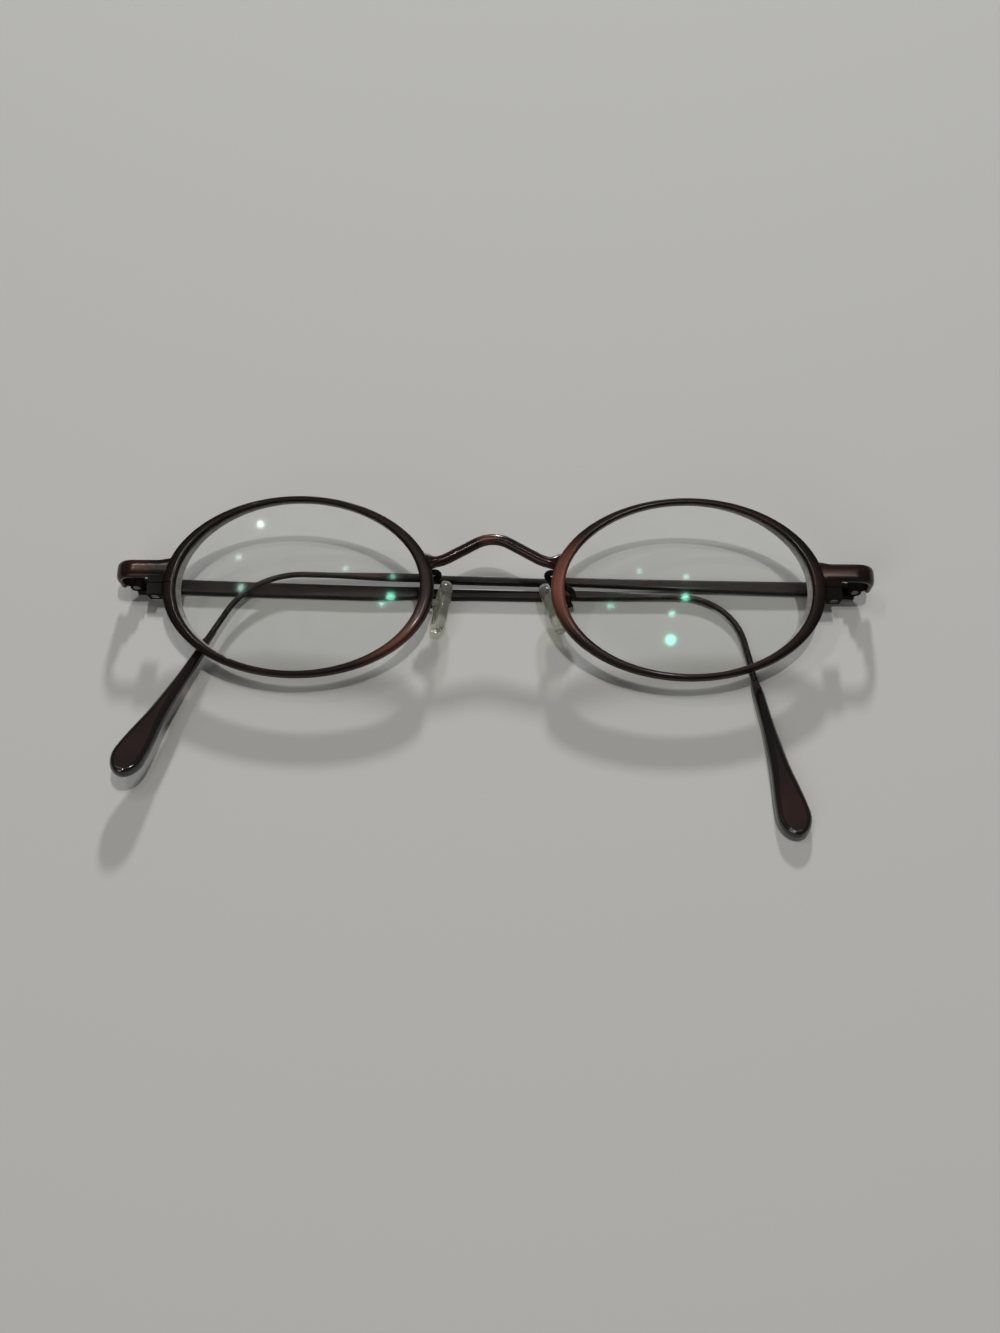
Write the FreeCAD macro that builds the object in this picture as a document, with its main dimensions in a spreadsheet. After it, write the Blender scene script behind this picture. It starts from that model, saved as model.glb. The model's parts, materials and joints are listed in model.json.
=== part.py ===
import FreeCAD, Part
import Sketcher
import math
import os

# Oval metal eyeglasses, folded and lying on the temples with the lenses up.
# X runs across the face, Y up the face, Z away from the table.
# The origin is on the underside of the left temple, midway between the lenses.

doc = FreeCAD.newDocument("Eyeglasses")
sheet = doc.addObject("Spreadsheet::Sheet", "Sizes")

# Driving dimensions in millimetres and degrees
DIMENSIONS = [
    ("front_height", 8.64, "front plane above the table, on the lens centre line"),
    ("front_tilt", 14.0, "pantoscopic tilt of the front to the temples"),
    ("eye_offset", 31.65, "lens centre from the middle of the front"),
    ("face_wrap", 1.5, "each rim turned back at its outer side"),
    ("eye_turn", 0.9, "each oval turned up at its outer side"),
    ("front_curve", 180.0, "radius of the front of rims and lenses"),
    ("front_lift", 1.85, "top of that curve ahead of the front plane"),
    ("rim_half_width", 22.15, "outside of the rim"),
    ("rim_half_height", 15.35, "outside of the rim"),
    ("rim_side", 2.2, "width of the rim at its sides"),
    ("rim_top", 0.95, "width of the rim at top and bottom"),
    ("rim_depth", 1.9, "rim from front to back"),
    ("rim_bevel", 0.35, "bevel of the rim's four edges"),
    ("groove_depth", 0.45, "lens groove, measured into the rim"),
    ("groove_inset", 0.5, "front of the groove behind the front of the rim"),
    ("tongue_thickness", 0.9, "lens tongue that sits in the groove"),
    ("tongue_play", 0.03, "clearance round the tongue"),
    ("lens_thickness", 1.6, "lens at its centre"),
    ("lens_back_curve", 105.0, "radius of the back of the lens"),
    ("lock_gap", 0.12, "cut that opens the rim"),
    ("lock_drop", 0.35, "cut of the rim above the lens centre line"),
    ("lock_width", 2.5, "lock blocks, out from the rim"),
    ("lock_depth", 2.9, "lock blocks from front to back"),
    ("lock_set", 0.3, "lock blocks behind the front of the rim"),
    ("lock_upper_height", 2.2, "upper lock block, part of it behind the strip"),
    ("lock_lower_height", 1.9, "lower lock block"),
    ("lock_screw_radius", 0.45, "closing screw"),
    ("lock_head_radius", 0.7, "closing screw head"),
    ("lock_head_height", 0.5, "closing screw head"),
    ("screw_play", 0.03, "radial clearance of screws in their holes"),
    ("strip_rise", 3.2, "endpiece strip above the lens centre line"),
    ("strip_set", 0.9, "middle of the strip behind the front plane"),
    ("strip_width", 3.0, "endpiece strip"),
    ("strip_thickness", 1.25, "endpiece strip at its crown"),
    ("strip_front_round", 0.9, "rounding of the strip's outer edges"),
    ("strip_back_round", 0.2, "rounding of the strip's inner edges"),
    ("strip_bend", 2.6, "bend of the strip along its middle"),
    ("endpiece_reach", 5.6, "hinge pin out from the outer side of the rim"),
    ("pivot_inset", 2.6, "hinge pin from the outer faces of temple and endpiece"),
    ("butt_length", 0.2, "temple end past the hinge pin"),
    ("butt_gap", 0.4, "endpiece end above the hinge pin"),
    ("knuckle_radius", 1.05, "hinge knuckles"),
    ("knuckle_height", 0.92, "each of three hinge knuckles"),
    ("knuckle_gap", 0.05, "between two knuckles"),
    ("leaf_thickness", 0.45, "hinge leaves"),
    ("leaf_length", 3.4, "hinge leaves from the pin"),
    ("leaf_clear", 0.3, "leaf stops short of the other part's knuckle"),
    ("plate_half_height", 1.15, "temple leaf, half of its height"),
    ("pin_radius", 0.6, "hinge screw"),
    ("pin_head_radius", 0.95, "hinge screw head"),
    ("pin_head_height", 0.55, "hinge screw head"),
    ("slot_width", 0.28, "driver slots"),
    ("temple_skew", 1.0, "temples out of line with the front"),
    ("right_fold_lift", 0.82, "right temple rises to lie over the left one"),
    ("temple_thickness", 1.2, "temple bar"),
    ("butt_height", 2.6, "temple bar at the hinge"),
    ("bar_height", 1.25, "temple bar past its taper"),
    ("bar_taper", 52.0, "length of the taper"),
    ("bar_flat", 76.0, "hinge pin to the end of the flat bar"),
    ("bar_round", 0.25, "rounding of the bar's edges"),
    ("bar_length_left", 98.8, "hinge pin to the corner of the left hook"),
    ("bar_length_right", 99.7, "hinge pin to the corner of the right hook"),
    ("hook_radius_left", 10.5, "bend of the left hook"),
    ("hook_radius_right", 13.0, "bend of the right hook"),
    ("hook_angle_left", 78.0, "turn of the left hook"),
    ("hook_angle_right", 67.5, "turn of the right hook"),
    ("hook_rise_left", 0.0, "left hook bent up from the table"),
    ("hook_rise_right", 3.8, "right hook bent up from the table"),
    ("core_radius", 0.45, "wire past the bend"),
    ("wire_length_left", 14.0, "corner of the left hook to the sleeve"),
    ("wire_length_right", 12.9, "corner of the right hook to the sleeve"),
    ("core_length", 18.0, "wire inside the sleeve"),
    ("tip_length", 30.0, "sleeve with its paddle"),
    ("sleeve_play", 0.04, "clearance of the wire in the sleeve"),
    ("tip_start_radius", 0.78, "sleeve where it starts"),
    ("paddle_half_width", 2.75, "teardrop at its widest"),
    ("paddle_thickness", 2.3, "teardrop"),
    ("bridge_radius", 0.86, "bridge wire"),
    ("bridge_foot", 4.3, "bridge ends above the lens centre line"),
    ("bridge_run", 1.75, "bridge starts to climb this far from the rim"),
    ("bridge_slope", 28.0, "climb of the bridge"),
    ("bridge_foot_bend", 3.2, "bend at the foot"),
    ("bridge_top_bend", 4.2, "bend at the top"),
    ("pad_drop", 1.3, "pad screw below the lens centre line"),
    ("pad_back", 4.6, "pad screw behind the front plane"),
    ("pad_in_left", 0.65, "left pad screw outward of the rim's inner edge"),
    ("pad_in_right", 1.9, "right pad screw outward of the rim's inner edge"),
    ("pad_lean_left", 11.0, "left pad leans in at its top"),
    ("pad_lean_right", 21.0, "right pad leans in at its top"),
    ("pad_splay_left", 20.0, "left pad turned back"),
    ("pad_splay_right", 8.0, "right pad turned back"),
    ("pad_half_length", 4.5, "nose pad"),
    ("pad_half_width", 2.5, "nose pad"),
    ("pad_thickness", 2.0, "nose pad"),
    ("pad_round", 0.8, "rounding of the pad"),
    ("pad_stand", 0.85, "back of the pad from its screw"),
    ("insert_thickness", 0.5, "stiff plate in the back of the pad"),
    ("insert_margin", 1.3, "silicone round the plate"),
    ("boss_width", 1.0, "boss of the insert, along the screw"),
    ("boss_height", 1.3, "boss of the insert"),
    ("box_wall", 0.35, "pad box"),
    ("box_play", 0.08, "pad box to boss"),
    ("box_depth", 1.5, "pad box from its back to its ears' ends"),
    ("pad_screw_radius", 0.35, "pad screw"),
    ("pad_screw_head", 0.6, "pad screw head"),
    ("arm_radius", 0.5, "pad arm wire"),
    ("arm_bend", 0.9, "bends of the pad arm"),
    ("arm_rise", 2.7, "pad arm's foot above the lens centre line"),
    ("arm_reach", 2.6, "pad arm's loop behind its foot"),
    ("arm_swing", 1.5, "pad arm's loop toward the nose, past the rim"),
]
for row, (alias, value, note) in enumerate(DIMENSIONS, start=1):
    sheet.set("A%d" % row, note)
    sheet.set("B%d" % row, str(value))
    sheet.setAlias("B%d" % row, alias)
doc.recompute()
ALIASES = {alias for alias, value, note in DIMENSIONS}

# Places that follow from the driving dimensions
rim_inner_edge = "(eye_offset - rim_half_width)"
pivot_offset = "(eye_offset + rim_half_width + endpiece_reach)"


def size(formula):
    """Value of a formula on the sheet's names."""
    value = sheet.evalExpression(formula)
    return float(getattr(value, "Value", value))


def on_sheet(formula):
    """The same formula as another object has to write it."""
    words = []
    word = ""
    for letter in formula + " ":
        if letter.isalnum() or letter == "_":
            word += letter
        else:
            words.append("Sizes." + word if word in ALIASES else word)
            words.append(letter)
            word = ""
    return "".join(words).strip()


def bind(part, **formulas):
    """Tie properties to the sheet; a double underscore stands for a dot."""
    for name, formula in formulas.items():
        part.setExpression(name.replace("__", "."), on_sheet(formula))
    return part


# Shared helpers for primitives and booleans

def add(kind, name, **formulas):
    part = doc.addObject(kind, name)
    return bind(part, **formulas)


def fuse(name, pieces):
    part = doc.addObject("Part::MultiFuse", name)
    part.Shapes = pieces
    return part


def cut(name, base, tool):
    part = doc.addObject("Part::Cut", name)
    part.Base = base
    part.Tool = tool
    return part


def common(name, first, second):
    part = doc.addObject("Part::MultiCommon", name)
    part.Shapes = [first, second]
    return part


def block(name, low, high):
    """Box between two corners, each a list of three formulas."""
    part = add("Part::Box", name)
    for prop, base, first, last in zip(("Length", "Width", "Height"), "xyz", low, high):
        bind(part, **{prop: "(%s) - (%s)" % (last, first), "Placement__Base__" + base: first})
    return part


def rod(name, radius, start, end, x="0", z="0"):
    """Round bar along Y from start to end."""
    part = add("Part::Cylinder", name, Radius=radius, Height="(%s) - (%s)" % (end, start))
    part.Placement = FreeCAD.Placement(FreeCAD.Vector(), FreeCAD.Rotation(FreeCAD.Vector(1, 0, 0), -90))
    return bind(part, Placement__Base__x=x, Placement__Base__y=start, Placement__Base__z=z)


def oval_prism(name, half_width, half_height, front, back):
    """Oval cylinder along Z between two heights."""
    curve = add("Part::Ellipse", name + "_curve", MajorRadius=half_width, MinorRadius=half_height)
    part = add("Part::Extrusion", name, LengthFwd=front, LengthRev="-(%s)" % back)
    part.Base = curve
    part.DirMode = "Custom"
    part.Dir = (0, 0, 1)
    part.Solid = True
    return part


def ball(name, radius, top):
    """Sphere with its highest point at the given height on Z and its poles along Y."""
    part = add("Part::Sphere", name, Radius=radius)
    part.Placement = FreeCAD.Placement(FreeCAD.Vector(), FreeCAD.Rotation(FreeCAD.Vector(1, 0, 0), 90))
    return bind(part, Placement__Base__z="(%s) - (%s)" % (top, radius))


def stacked(name, rings):
    """Solid through ellipses along Z, each given as height, two half widths and a shift along Y."""
    sections = []
    for index, (height, half_x, half_y, shift) in enumerate(rings):
        ring = add("Part::Ellipse", "%s_ring_%d" % (name, index), MajorRadius=half_x, MinorRadius=half_y)
        sections.append(bind(ring, Placement__Base__y=shift, Placement__Base__z=height))
    part = doc.addObject("Part::Loft", name)
    part.Sections = sections
    part.Solid = True
    part.Ruled = True
    return part


def placed(name, source, place):
    """A copy of the piece, moved to a frame."""
    part = doc.addObject("Part::Compound", name)
    part.Links = [source]
    part.Placement = place
    return part


def mirrored(name, source):
    """The same piece on the left side."""
    part = doc.addObject("Part::Mirroring", name)
    part.Source = source
    part.Normal = (1, 0, 0)
    return part


def bevelled(name, base, width, least_length):
    """Chamfer on every edge longer than a given length."""
    doc.recompute()
    part = doc.addObject("Part::Chamfer", name)
    part.Base = base
    reach = size(width)
    edges = enumerate(base.Shape.Edges, start=1)
    part.Edges = [(i, reach, reach) for i, edge in edges if edge.Length > size(least_length)]
    return part


# Sketches made of straight runs joined by tangent arcs

def sketch_on(body, name, role, offset=None):
    """Empty sketch on one of the body's own planes, or off it by a formula."""
    drawing = body.newObject("Sketcher::SketchObject", name)
    plane = [item for item in body.Origin.OriginFeatures if item.Role == role][0]
    drawing.AttachmentSupport = [(plane, "")]
    drawing.MapMode = "FlatFace"
    if offset:
        drawing.setExpression("AttachmentOffset.Base.z", on_sheet(offset))
    return drawing


def pin_point(drawing, line, end, corner):
    """Hold one end of a line at the corner's two formulas."""
    for kind, formula in zip(("DistanceX", "DistanceY"), corner):
        index = drawing.addConstraint(Sketcher.Constraint(kind, -1, 1, line, end, size(formula)))
        drawing.setExpression("Constraints[%d]" % index, on_sheet(formula))


def bend_arc(corner, before, after, radius):
    """Arc of a bend with its two ends, and whether it runs with the path."""
    toward = (before - corner).normalize()
    away = (after - corner).normalize()
    half = toward.getAngle(away) / 2
    middle = corner + (toward + away).normalize() * (radius / math.sin(half))
    first = corner + toward * (radius / math.tan(half))
    last = corner + away * (radius / math.tan(half))
    forward = toward.cross(away).z < 0
    low, high = (first, last) if forward else (last, first)
    angles = [math.atan2(p.y - middle.y, p.x - middle.x) for p in (low, high)]
    circle = Part.Circle(middle, FreeCAD.Vector(0, 0, 1), radius)
    return Part.ArcOfCircle(circle, angles[0], angles[1]), first, last, forward


def path_sketch(body, name, role, corners, bends, closed=False, offset=None):
    """Corner points joined by lines, with a bend radius at each inner corner."""
    drawing = sketch_on(body, name, role, offset)
    points = [FreeCAD.Vector(size(x), size(y), 0) for x, y in corners]
    count = len(points)
    spans = count if closed else count - 1
    guides = []
    for i in range(spans):
        guides.append(drawing.addGeometry(Part.LineSegment(points[i], points[(i + 1) % count]), True))
        pin_point(drawing, guides[i], 1, corners[i])
        if i > 0:
            drawing.addConstraint(Sketcher.Constraint("Coincident", guides[i - 1], 2, guides[i], 1))
    if closed:
        drawing.addConstraint(Sketcher.Constraint("Coincident", guides[-1], 2, guides[0], 1))
    else:
        pin_point(drawing, guides[-1], 2, corners[-1])
    turns = range(count) if closed else range(1, count - 1)
    arcs = {}
    for k, bend in zip(turns, bends):
        arcs[k] = bend_arc(points[k], points[k - 1], points[(k + 1) % count], size(bend))
    lines = []
    curves = {}
    for i in range(spans):
        start = arcs[i][2] if i in arcs else points[i]
        after = (i + 1) % count
        end = arcs[after][1] if after in arcs else points[after]
        lines.append(drawing.addGeometry(Part.LineSegment(start, end), False))
        if i in arcs:
            drawing.addConstraint(Sketcher.Constraint("PointOnObject", lines[i], 1, guides[i]))
        if after in arcs:
            drawing.addConstraint(Sketcher.Constraint("PointOnObject", lines[i], 2, guides[i]))
        if after in arcs:
            curves[after] = drawing.addGeometry(arcs[after][0], False)
    if not closed:
        drawing.addConstraint(Sketcher.Constraint("Coincident", lines[0], 1, guides[0], 1))
        drawing.addConstraint(Sketcher.Constraint("Coincident", lines[-1], 2, guides[-1], 2))
    for k, bend in zip(turns, bends):
        near, far = (1, 2) if arcs[k][3] else (2, 1)
        drawing.addConstraint(Sketcher.Constraint("Tangent", lines[k - 1], 2, curves[k], near))
        drawing.addConstraint(Sketcher.Constraint("Tangent", curves[k], far, lines[k], 1))
        index = drawing.addConstraint(Sketcher.Constraint("Radius", curves[k], size(bend)))
        drawing.setExpression("Constraints[%d]" % index, on_sheet(bend))
    return drawing


def rectangle_sketch(body, name, role, half_x, half_y, bend, middle=("0", "0"), offset=None):
    """Rounded rectangle about a middle point."""
    x, y = middle
    corners = [
        ("%s - (%s)" % (x, half_x), "%s - (%s)" % (y, half_y)),
        ("%s + (%s)" % (x, half_x), "%s - (%s)" % (y, half_y)),
        ("%s + (%s)" % (x, half_x), "%s + (%s)" % (y, half_y)),
        ("%s - (%s)" % (x, half_x), "%s + (%s)" % (y, half_y)),
    ]
    return path_sketch(body, name, role, corners, [bend] * 4, True, offset)


def circle_sketch(body, name, role, radius, middle=("0", "0"), offset=None):
    drawing = sketch_on(body, name, role, offset)
    centre = FreeCAD.Vector(size(middle[0]), size(middle[1]), 0)
    circle = Part.Circle(centre, FreeCAD.Vector(0, 0, 1), size(radius))
    drawing.addGeometry(circle, False)
    pin_point(drawing, 0, 3, middle)
    index = drawing.addConstraint(Sketcher.Constraint("Radius", 0, size(radius)))
    drawing.setExpression("Constraints[%d]" % index, on_sheet(radius))
    return drawing


def pipe(body, name, profile, spine):
    feature = body.newObject("PartDesign::AdditivePipe", name)
    feature.Profile = profile
    feature.Spine = (spine, ["Edge%d" % (i + 1) for i in range(len(spine.Shape.Edges))])
    return feature


# Where the front and the hinges stand

def front_place():
    """Front plane, set so that the endpieces end on the hinge line."""
    tilt = math.radians(size("front_tilt"))
    rise = size("strip_rise")
    drop = size("front_height") + rise * math.sin(tilt) - size("pivot_inset")
    back = pivot_y() - rise * math.cos(tilt) - drop * math.tan(tilt)
    turn = FreeCAD.Rotation(FreeCAD.Vector(1, 0, 0), size("front_tilt"))
    return FreeCAD.Placement(FreeCAD.Vector(0, back, size("front_height")), turn)


def pivot_y():
    return size(pivot_offset) * math.tan(math.radians(size("temple_skew")))


def eye_place():
    """Frame of the right eye: X out, Y up, Z forward, on the top of the front curve."""
    move = FreeCAD.Vector(size("eye_offset"), 0, size("front_lift"))
    wrap = FreeCAD.Rotation(FreeCAD.Vector(0, 1, 0), size("face_wrap"))
    turn = FreeCAD.Rotation(FreeCAD.Vector(0, 0, 1), size("eye_turn"))
    eye = FreeCAD.Placement(move, wrap.multiply(turn))
    return front_place().multiply(eye)


def pivot_place(side, lift="0"):
    """Hinge frame: Y along the pin, X along the front, lifted by a fold angle."""
    place = FreeCAD.Vector(side * size(pivot_offset), pivot_y(), size("pivot_inset"))
    skew = FreeCAD.Rotation(FreeCAD.Vector(0, 0, 1), -size("temple_skew"))
    fold = FreeCAD.Rotation(FreeCAD.Vector(0, 1, 0), side * size(lift))
    return FreeCAD.Placement(place, skew.multiply(fold))


def pad_place(side, word):
    """Pad frame: X up the pad, Y across it, Z towards the nose, on the pad screw."""
    slope = math.radians(size("pad_lean_" + word))
    back = math.radians(size("pad_splay_" + word))
    out = size("%s + pad_in_%s" % (rim_inner_edge, word))
    up = FreeCAD.Vector(-side * math.sin(slope), math.cos(slope), 0)
    inward = FreeCAD.Vector(-side * math.cos(slope), -math.sin(slope), 0)
    normal = inward * math.cos(back) - FreeCAD.Vector(0, 0, 1) * math.sin(back)
    across = normal.cross(up)
    spot = FreeCAD.Vector(side * out, -size("pad_drop"), -size("pad_back"))
    return front_place().multiply(FreeCAD.Placement(spot, FreeCAD.Rotation(up, across, normal, "XZY")))


nodes = []


def keep(part, name, place=None):
    """Name a finished piece and put it in its place."""
    part.Label = name
    if place:
        part.Placement = place
    nodes.append(part)
    return part


# Rims: an oval ring between two spheres, grooved, cut open at the lock
far_front = "rim_half_width"
far_back = "-rim_half_width"
inner_width = "rim_half_width - rim_side"
inner_height = "rim_half_height - rim_top"
ring = cut(
    "rim_ring",
    oval_prism("rim_outside", "rim_half_width", "rim_half_height", far_front, far_back),
    oval_prism("rim_inside", inner_width, inner_height, far_front, far_back),
)
rim_front = ball("rim_front", "front_curve", "0")
rim_shell = cut("rim_shell", rim_front, ball("rim_back", "front_curve", "-rim_depth"))
rim_blank = common("rim_blank", ring, rim_shell)
rim_bevelled = bevelled("rim_bevelled", rim_blank, "rim_bevel", "2 * rim_depth")
groove_shell = cut(
    "groove_shell",
    ball("groove_front", "front_curve", "tongue_play - groove_inset"),
    ball("groove_back", "front_curve", "-groove_inset - tongue_thickness - tongue_play"),
)
groove_width = inner_width + " + groove_depth + tongue_play"
groove_height = inner_height + " + groove_depth + tongue_play"
groove_prism = oval_prism("groove_outside", groove_width, groove_height, far_front, far_back)
groove = common("groove", groove_prism, groove_shell)
opening = block(
    "lock_opening",
    [inner_width + " - groove_depth", "lock_drop - lock_gap / 2", "-2 * rim_depth"],
    ["rim_half_width + lock_width", "lock_drop + lock_gap / 2", "rim_depth"],
)
rim_grooved = cut("rim_grooved", rim_bevelled, groove)
right_rim = keep(cut("rim_right", rim_grooved, opening), "right_rim", eye_place())

# Lenses: a thick-edged body inside the rim and a tongue round it in the groove
tongue_shell = cut(
    "tongue_shell",
    ball("tongue_front", "front_curve", "-groove_inset"),
    ball("tongue_back", "front_curve", "-groove_inset - tongue_thickness"),
)
tongue_width = inner_width + " + groove_depth"
tongue_height = inner_height + " + groove_depth"
body_width = inner_width + " - tongue_play"
body_height = inner_height + " - tongue_play"
tongue_prism = oval_prism("tongue_prism", tongue_width, tongue_height, far_front, far_back)
body_prism = oval_prism("lens_prism", body_width, body_height, far_front, far_back)
lens_shell = cut(
    "lens_shell",
    ball("lens_front", "front_curve", "-groove_inset"),
    ball("lens_back", "lens_back_curve", "-groove_inset - lens_thickness"),
)
tongue = common("tongue", tongue_prism, tongue_shell)
lens_body = common("lens_body", body_prism, lens_shell)
right_lens = keep(fuse("lens_right", [tongue, lens_body]), "right_lens", eye_place())

# Bridge: a round wire that climbs from both rims to a rounded top
bridge_body = doc.addObject("PartDesign::Body", "bridge_body")
foot_share = "sqrt(1 - bridge_foot * bridge_foot / (rim_half_height * rim_half_height))"
foot_edge = "(eye_offset - rim_half_width * %s)" % foot_share
bridge_shoulder = "(%s - bridge_run)" % foot_edge
bridge_peak = "bridge_foot + %s * tan(bridge_slope * 1 deg)" % bridge_shoulder
bridge_end = "(%s + rim_side / 2)" % foot_edge
bridge_corners = [
    ("-" + bridge_end, "bridge_foot"),
    ("-" + bridge_shoulder, "bridge_foot"),
    ("0", bridge_peak),
    (bridge_shoulder, "bridge_foot"),
    (bridge_end, "bridge_foot"),
]
bridge_bends = ["bridge_foot_bend", "bridge_top_bend", "bridge_foot_bend"]
bridge_path = path_sketch(bridge_body, "bridge_path", "XY_Plane", bridge_corners, bridge_bends)
bridge_round = circle_sketch(
    bridge_body, "bridge_round", "YZ_Plane", "bridge_radius", ("bridge_foot", "0"), "-" + bridge_end
)
doc.recompute()
pipe(bridge_body, "bridge_wire", bridge_round, bridge_path)
bridge_body.Placement = front_place()
right_seat = oval_prism("right_rim_seat", "rim_half_width", "rim_half_height", far_front, far_back)
right_seat.Placement = eye_place()
left_seat = mirrored("left_rim_seat", right_seat)
keep(cut("bridge_wire_cut", bridge_body, fuse("rim_seats", [right_seat, left_seat])), "bridge")

# Endpieces: a strip with rounded outer edges, bent back and cut square to the hinge
strip_body = doc.addObject("PartDesign::Body", "strip_body")
strip_start = "eye_offset + rim_half_width - rim_side / 2"
strip_end = pivot_offset + " + pivot_inset - strip_thickness / 2"
strip_corners = [
    (strip_start, "-strip_set"),
    (strip_end, "-strip_set"),
    (strip_end, "-front_height / cos(front_tilt * 1 deg) - strip_set"),
]
strip_path = path_sketch(
    strip_body, "strip_path", "XZ_Plane", strip_corners, ["strip_bend"], offset="-strip_rise"
)
low, high = "strip_rise - strip_width / 2", "strip_rise + strip_width / 2"
back, front = "-strip_set - strip_thickness / 2", "-strip_set + strip_thickness / 2"
strip_section = path_sketch(
    strip_body,
    "strip_section",
    "YZ_Plane",
    [(low, back), (high, back), (high, front), (low, front)],
    ["strip_back_round", "strip_back_round", "strip_front_round", "strip_front_round"],
    closed=True,
    offset=strip_start,
)
doc.recompute()
pipe(strip_body, "strip_sweep", strip_section, strip_path)
strip_body.Placement = front_place()
reach = "2 * endpiece_reach"
butt_box = block("butt_box", ["-" + reach] * 3, [reach, reach, "butt_gap"])
strip_cutters = fuse("strip_cutters", [right_seat, placed("butt_side", butt_box, pivot_place(1))])
right_endpiece = keep(cut("strip_cut", strip_body, strip_cutters), "right_endpiece")

# Rim locks: two blocks either side of the cut, drawn together by a screw
lock_front = "-rim_half_width * rim_half_width / (2 * front_curve) - lock_set"
lock_back = lock_front + " - lock_depth"
lock_inner = "rim_half_width - rim_side / 2"
lock_outer = "rim_half_width + lock_width"
upper_low = "lock_drop + lock_gap / 2"
lower_high = "lock_drop - lock_gap / 2"
screw_x = "rim_half_width + lock_width * 0.55"
screw_z = lock_front + " - lock_depth * 0.55"
upper_high = upper_low + " + lock_upper_height"
lower_low = lower_high + " - lock_lower_height"
seat = lower_low + " + lock_head_height"


def lock_hole(name, radius, start, end):
    return rod(name, radius, start, end, screw_x, screw_z)


upper_block = block("upper_block", [lock_inner, upper_low, lock_back], [lock_outer, upper_high, lock_front])
shank_end = upper_low + " + lock_upper_height / 2"
upper_hole = lock_hole("upper_hole", "lock_screw_radius + screw_play", upper_low, shank_end + " + screw_play")
upper_drilled = cut("upper_drilled", upper_block, upper_hole)
upper_drilled.Placement = eye_place()
upper_fitted = cut("upper_fitted", upper_drilled, fuse("upper_cutters", [right_seat, right_endpiece]))
right_lock_upper = keep(upper_fitted, "right_lock_upper")
lower_block = block("lower_block", [lock_inner, lower_low, lock_back], [lock_outer, lower_high, lock_front])
lower_holes = fuse(
    "lower_holes",
    [
        lock_hole("lower_hole", "lock_screw_radius + screw_play", lower_low, lower_high),
        lock_hole("lower_sink", "lock_head_radius + screw_play", lower_low, seat),
    ],
)
lower_drilled = cut("lower_drilled", lower_block, lower_holes)
lower_drilled.Placement = eye_place()
right_lock_lower = keep(cut("lower_fitted", lower_drilled, right_seat), "right_lock_lower")
lock_slot = block(
    "lock_slot",
    [screw_x + " - lock_head_radius", lower_low, screw_z + " - slot_width / 2"],
    [screw_x + " + lock_head_radius", lower_low + " + slot_width", screw_z + " + slot_width / 2"],
)
lock_shank = lock_hole("lock_shank", "lock_screw_radius", lower_low, shank_end)
lock_head = lock_hole("lock_head", "lock_head_radius", lower_low, seat)
lock_screw = cut("lock_screw_cut", fuse("lock_screw_blank", [lock_shank, lock_head]), lock_slot)
right_lock_screw = keep(lock_screw, "right_lock_screw", eye_place())

for piece in [right_rim, right_lens, right_endpiece, right_lock_upper, right_lock_lower, right_lock_screw]:
    name = piece.Label.replace("right", "left")
    keep(mirrored(name + "_mirror", piece), name)
left_rim, left_endpiece = [piece for piece in nodes if piece.Label in ("left_rim", "left_endpiece")]


# Hinges: two knuckles on the front leaf, one on the temple leaf, one screw

def outward(side, near, far):
    """Two formulas along X, measured outward on the given side, in rising order."""
    return (near, far) if side > 0 else ("-(%s)" % far, "-(%s)" % near)


def side_block(name, side, near, far, low, high):
    first, last = outward(side, near, far)
    return block(name, [first] + low, [last] + high)


hinge_half = "(1.5 * knuckle_height + knuckle_gap)"
mid_half = "(knuckle_height / 2)"
outer_start = "(knuckle_height / 2 + knuckle_gap)"
lug_face = "(pivot_inset - strip_thickness)"
leaf_start = "(knuckle_radius + leaf_clear)"
temple_face = "(temple_thickness - pivot_inset)"


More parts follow.
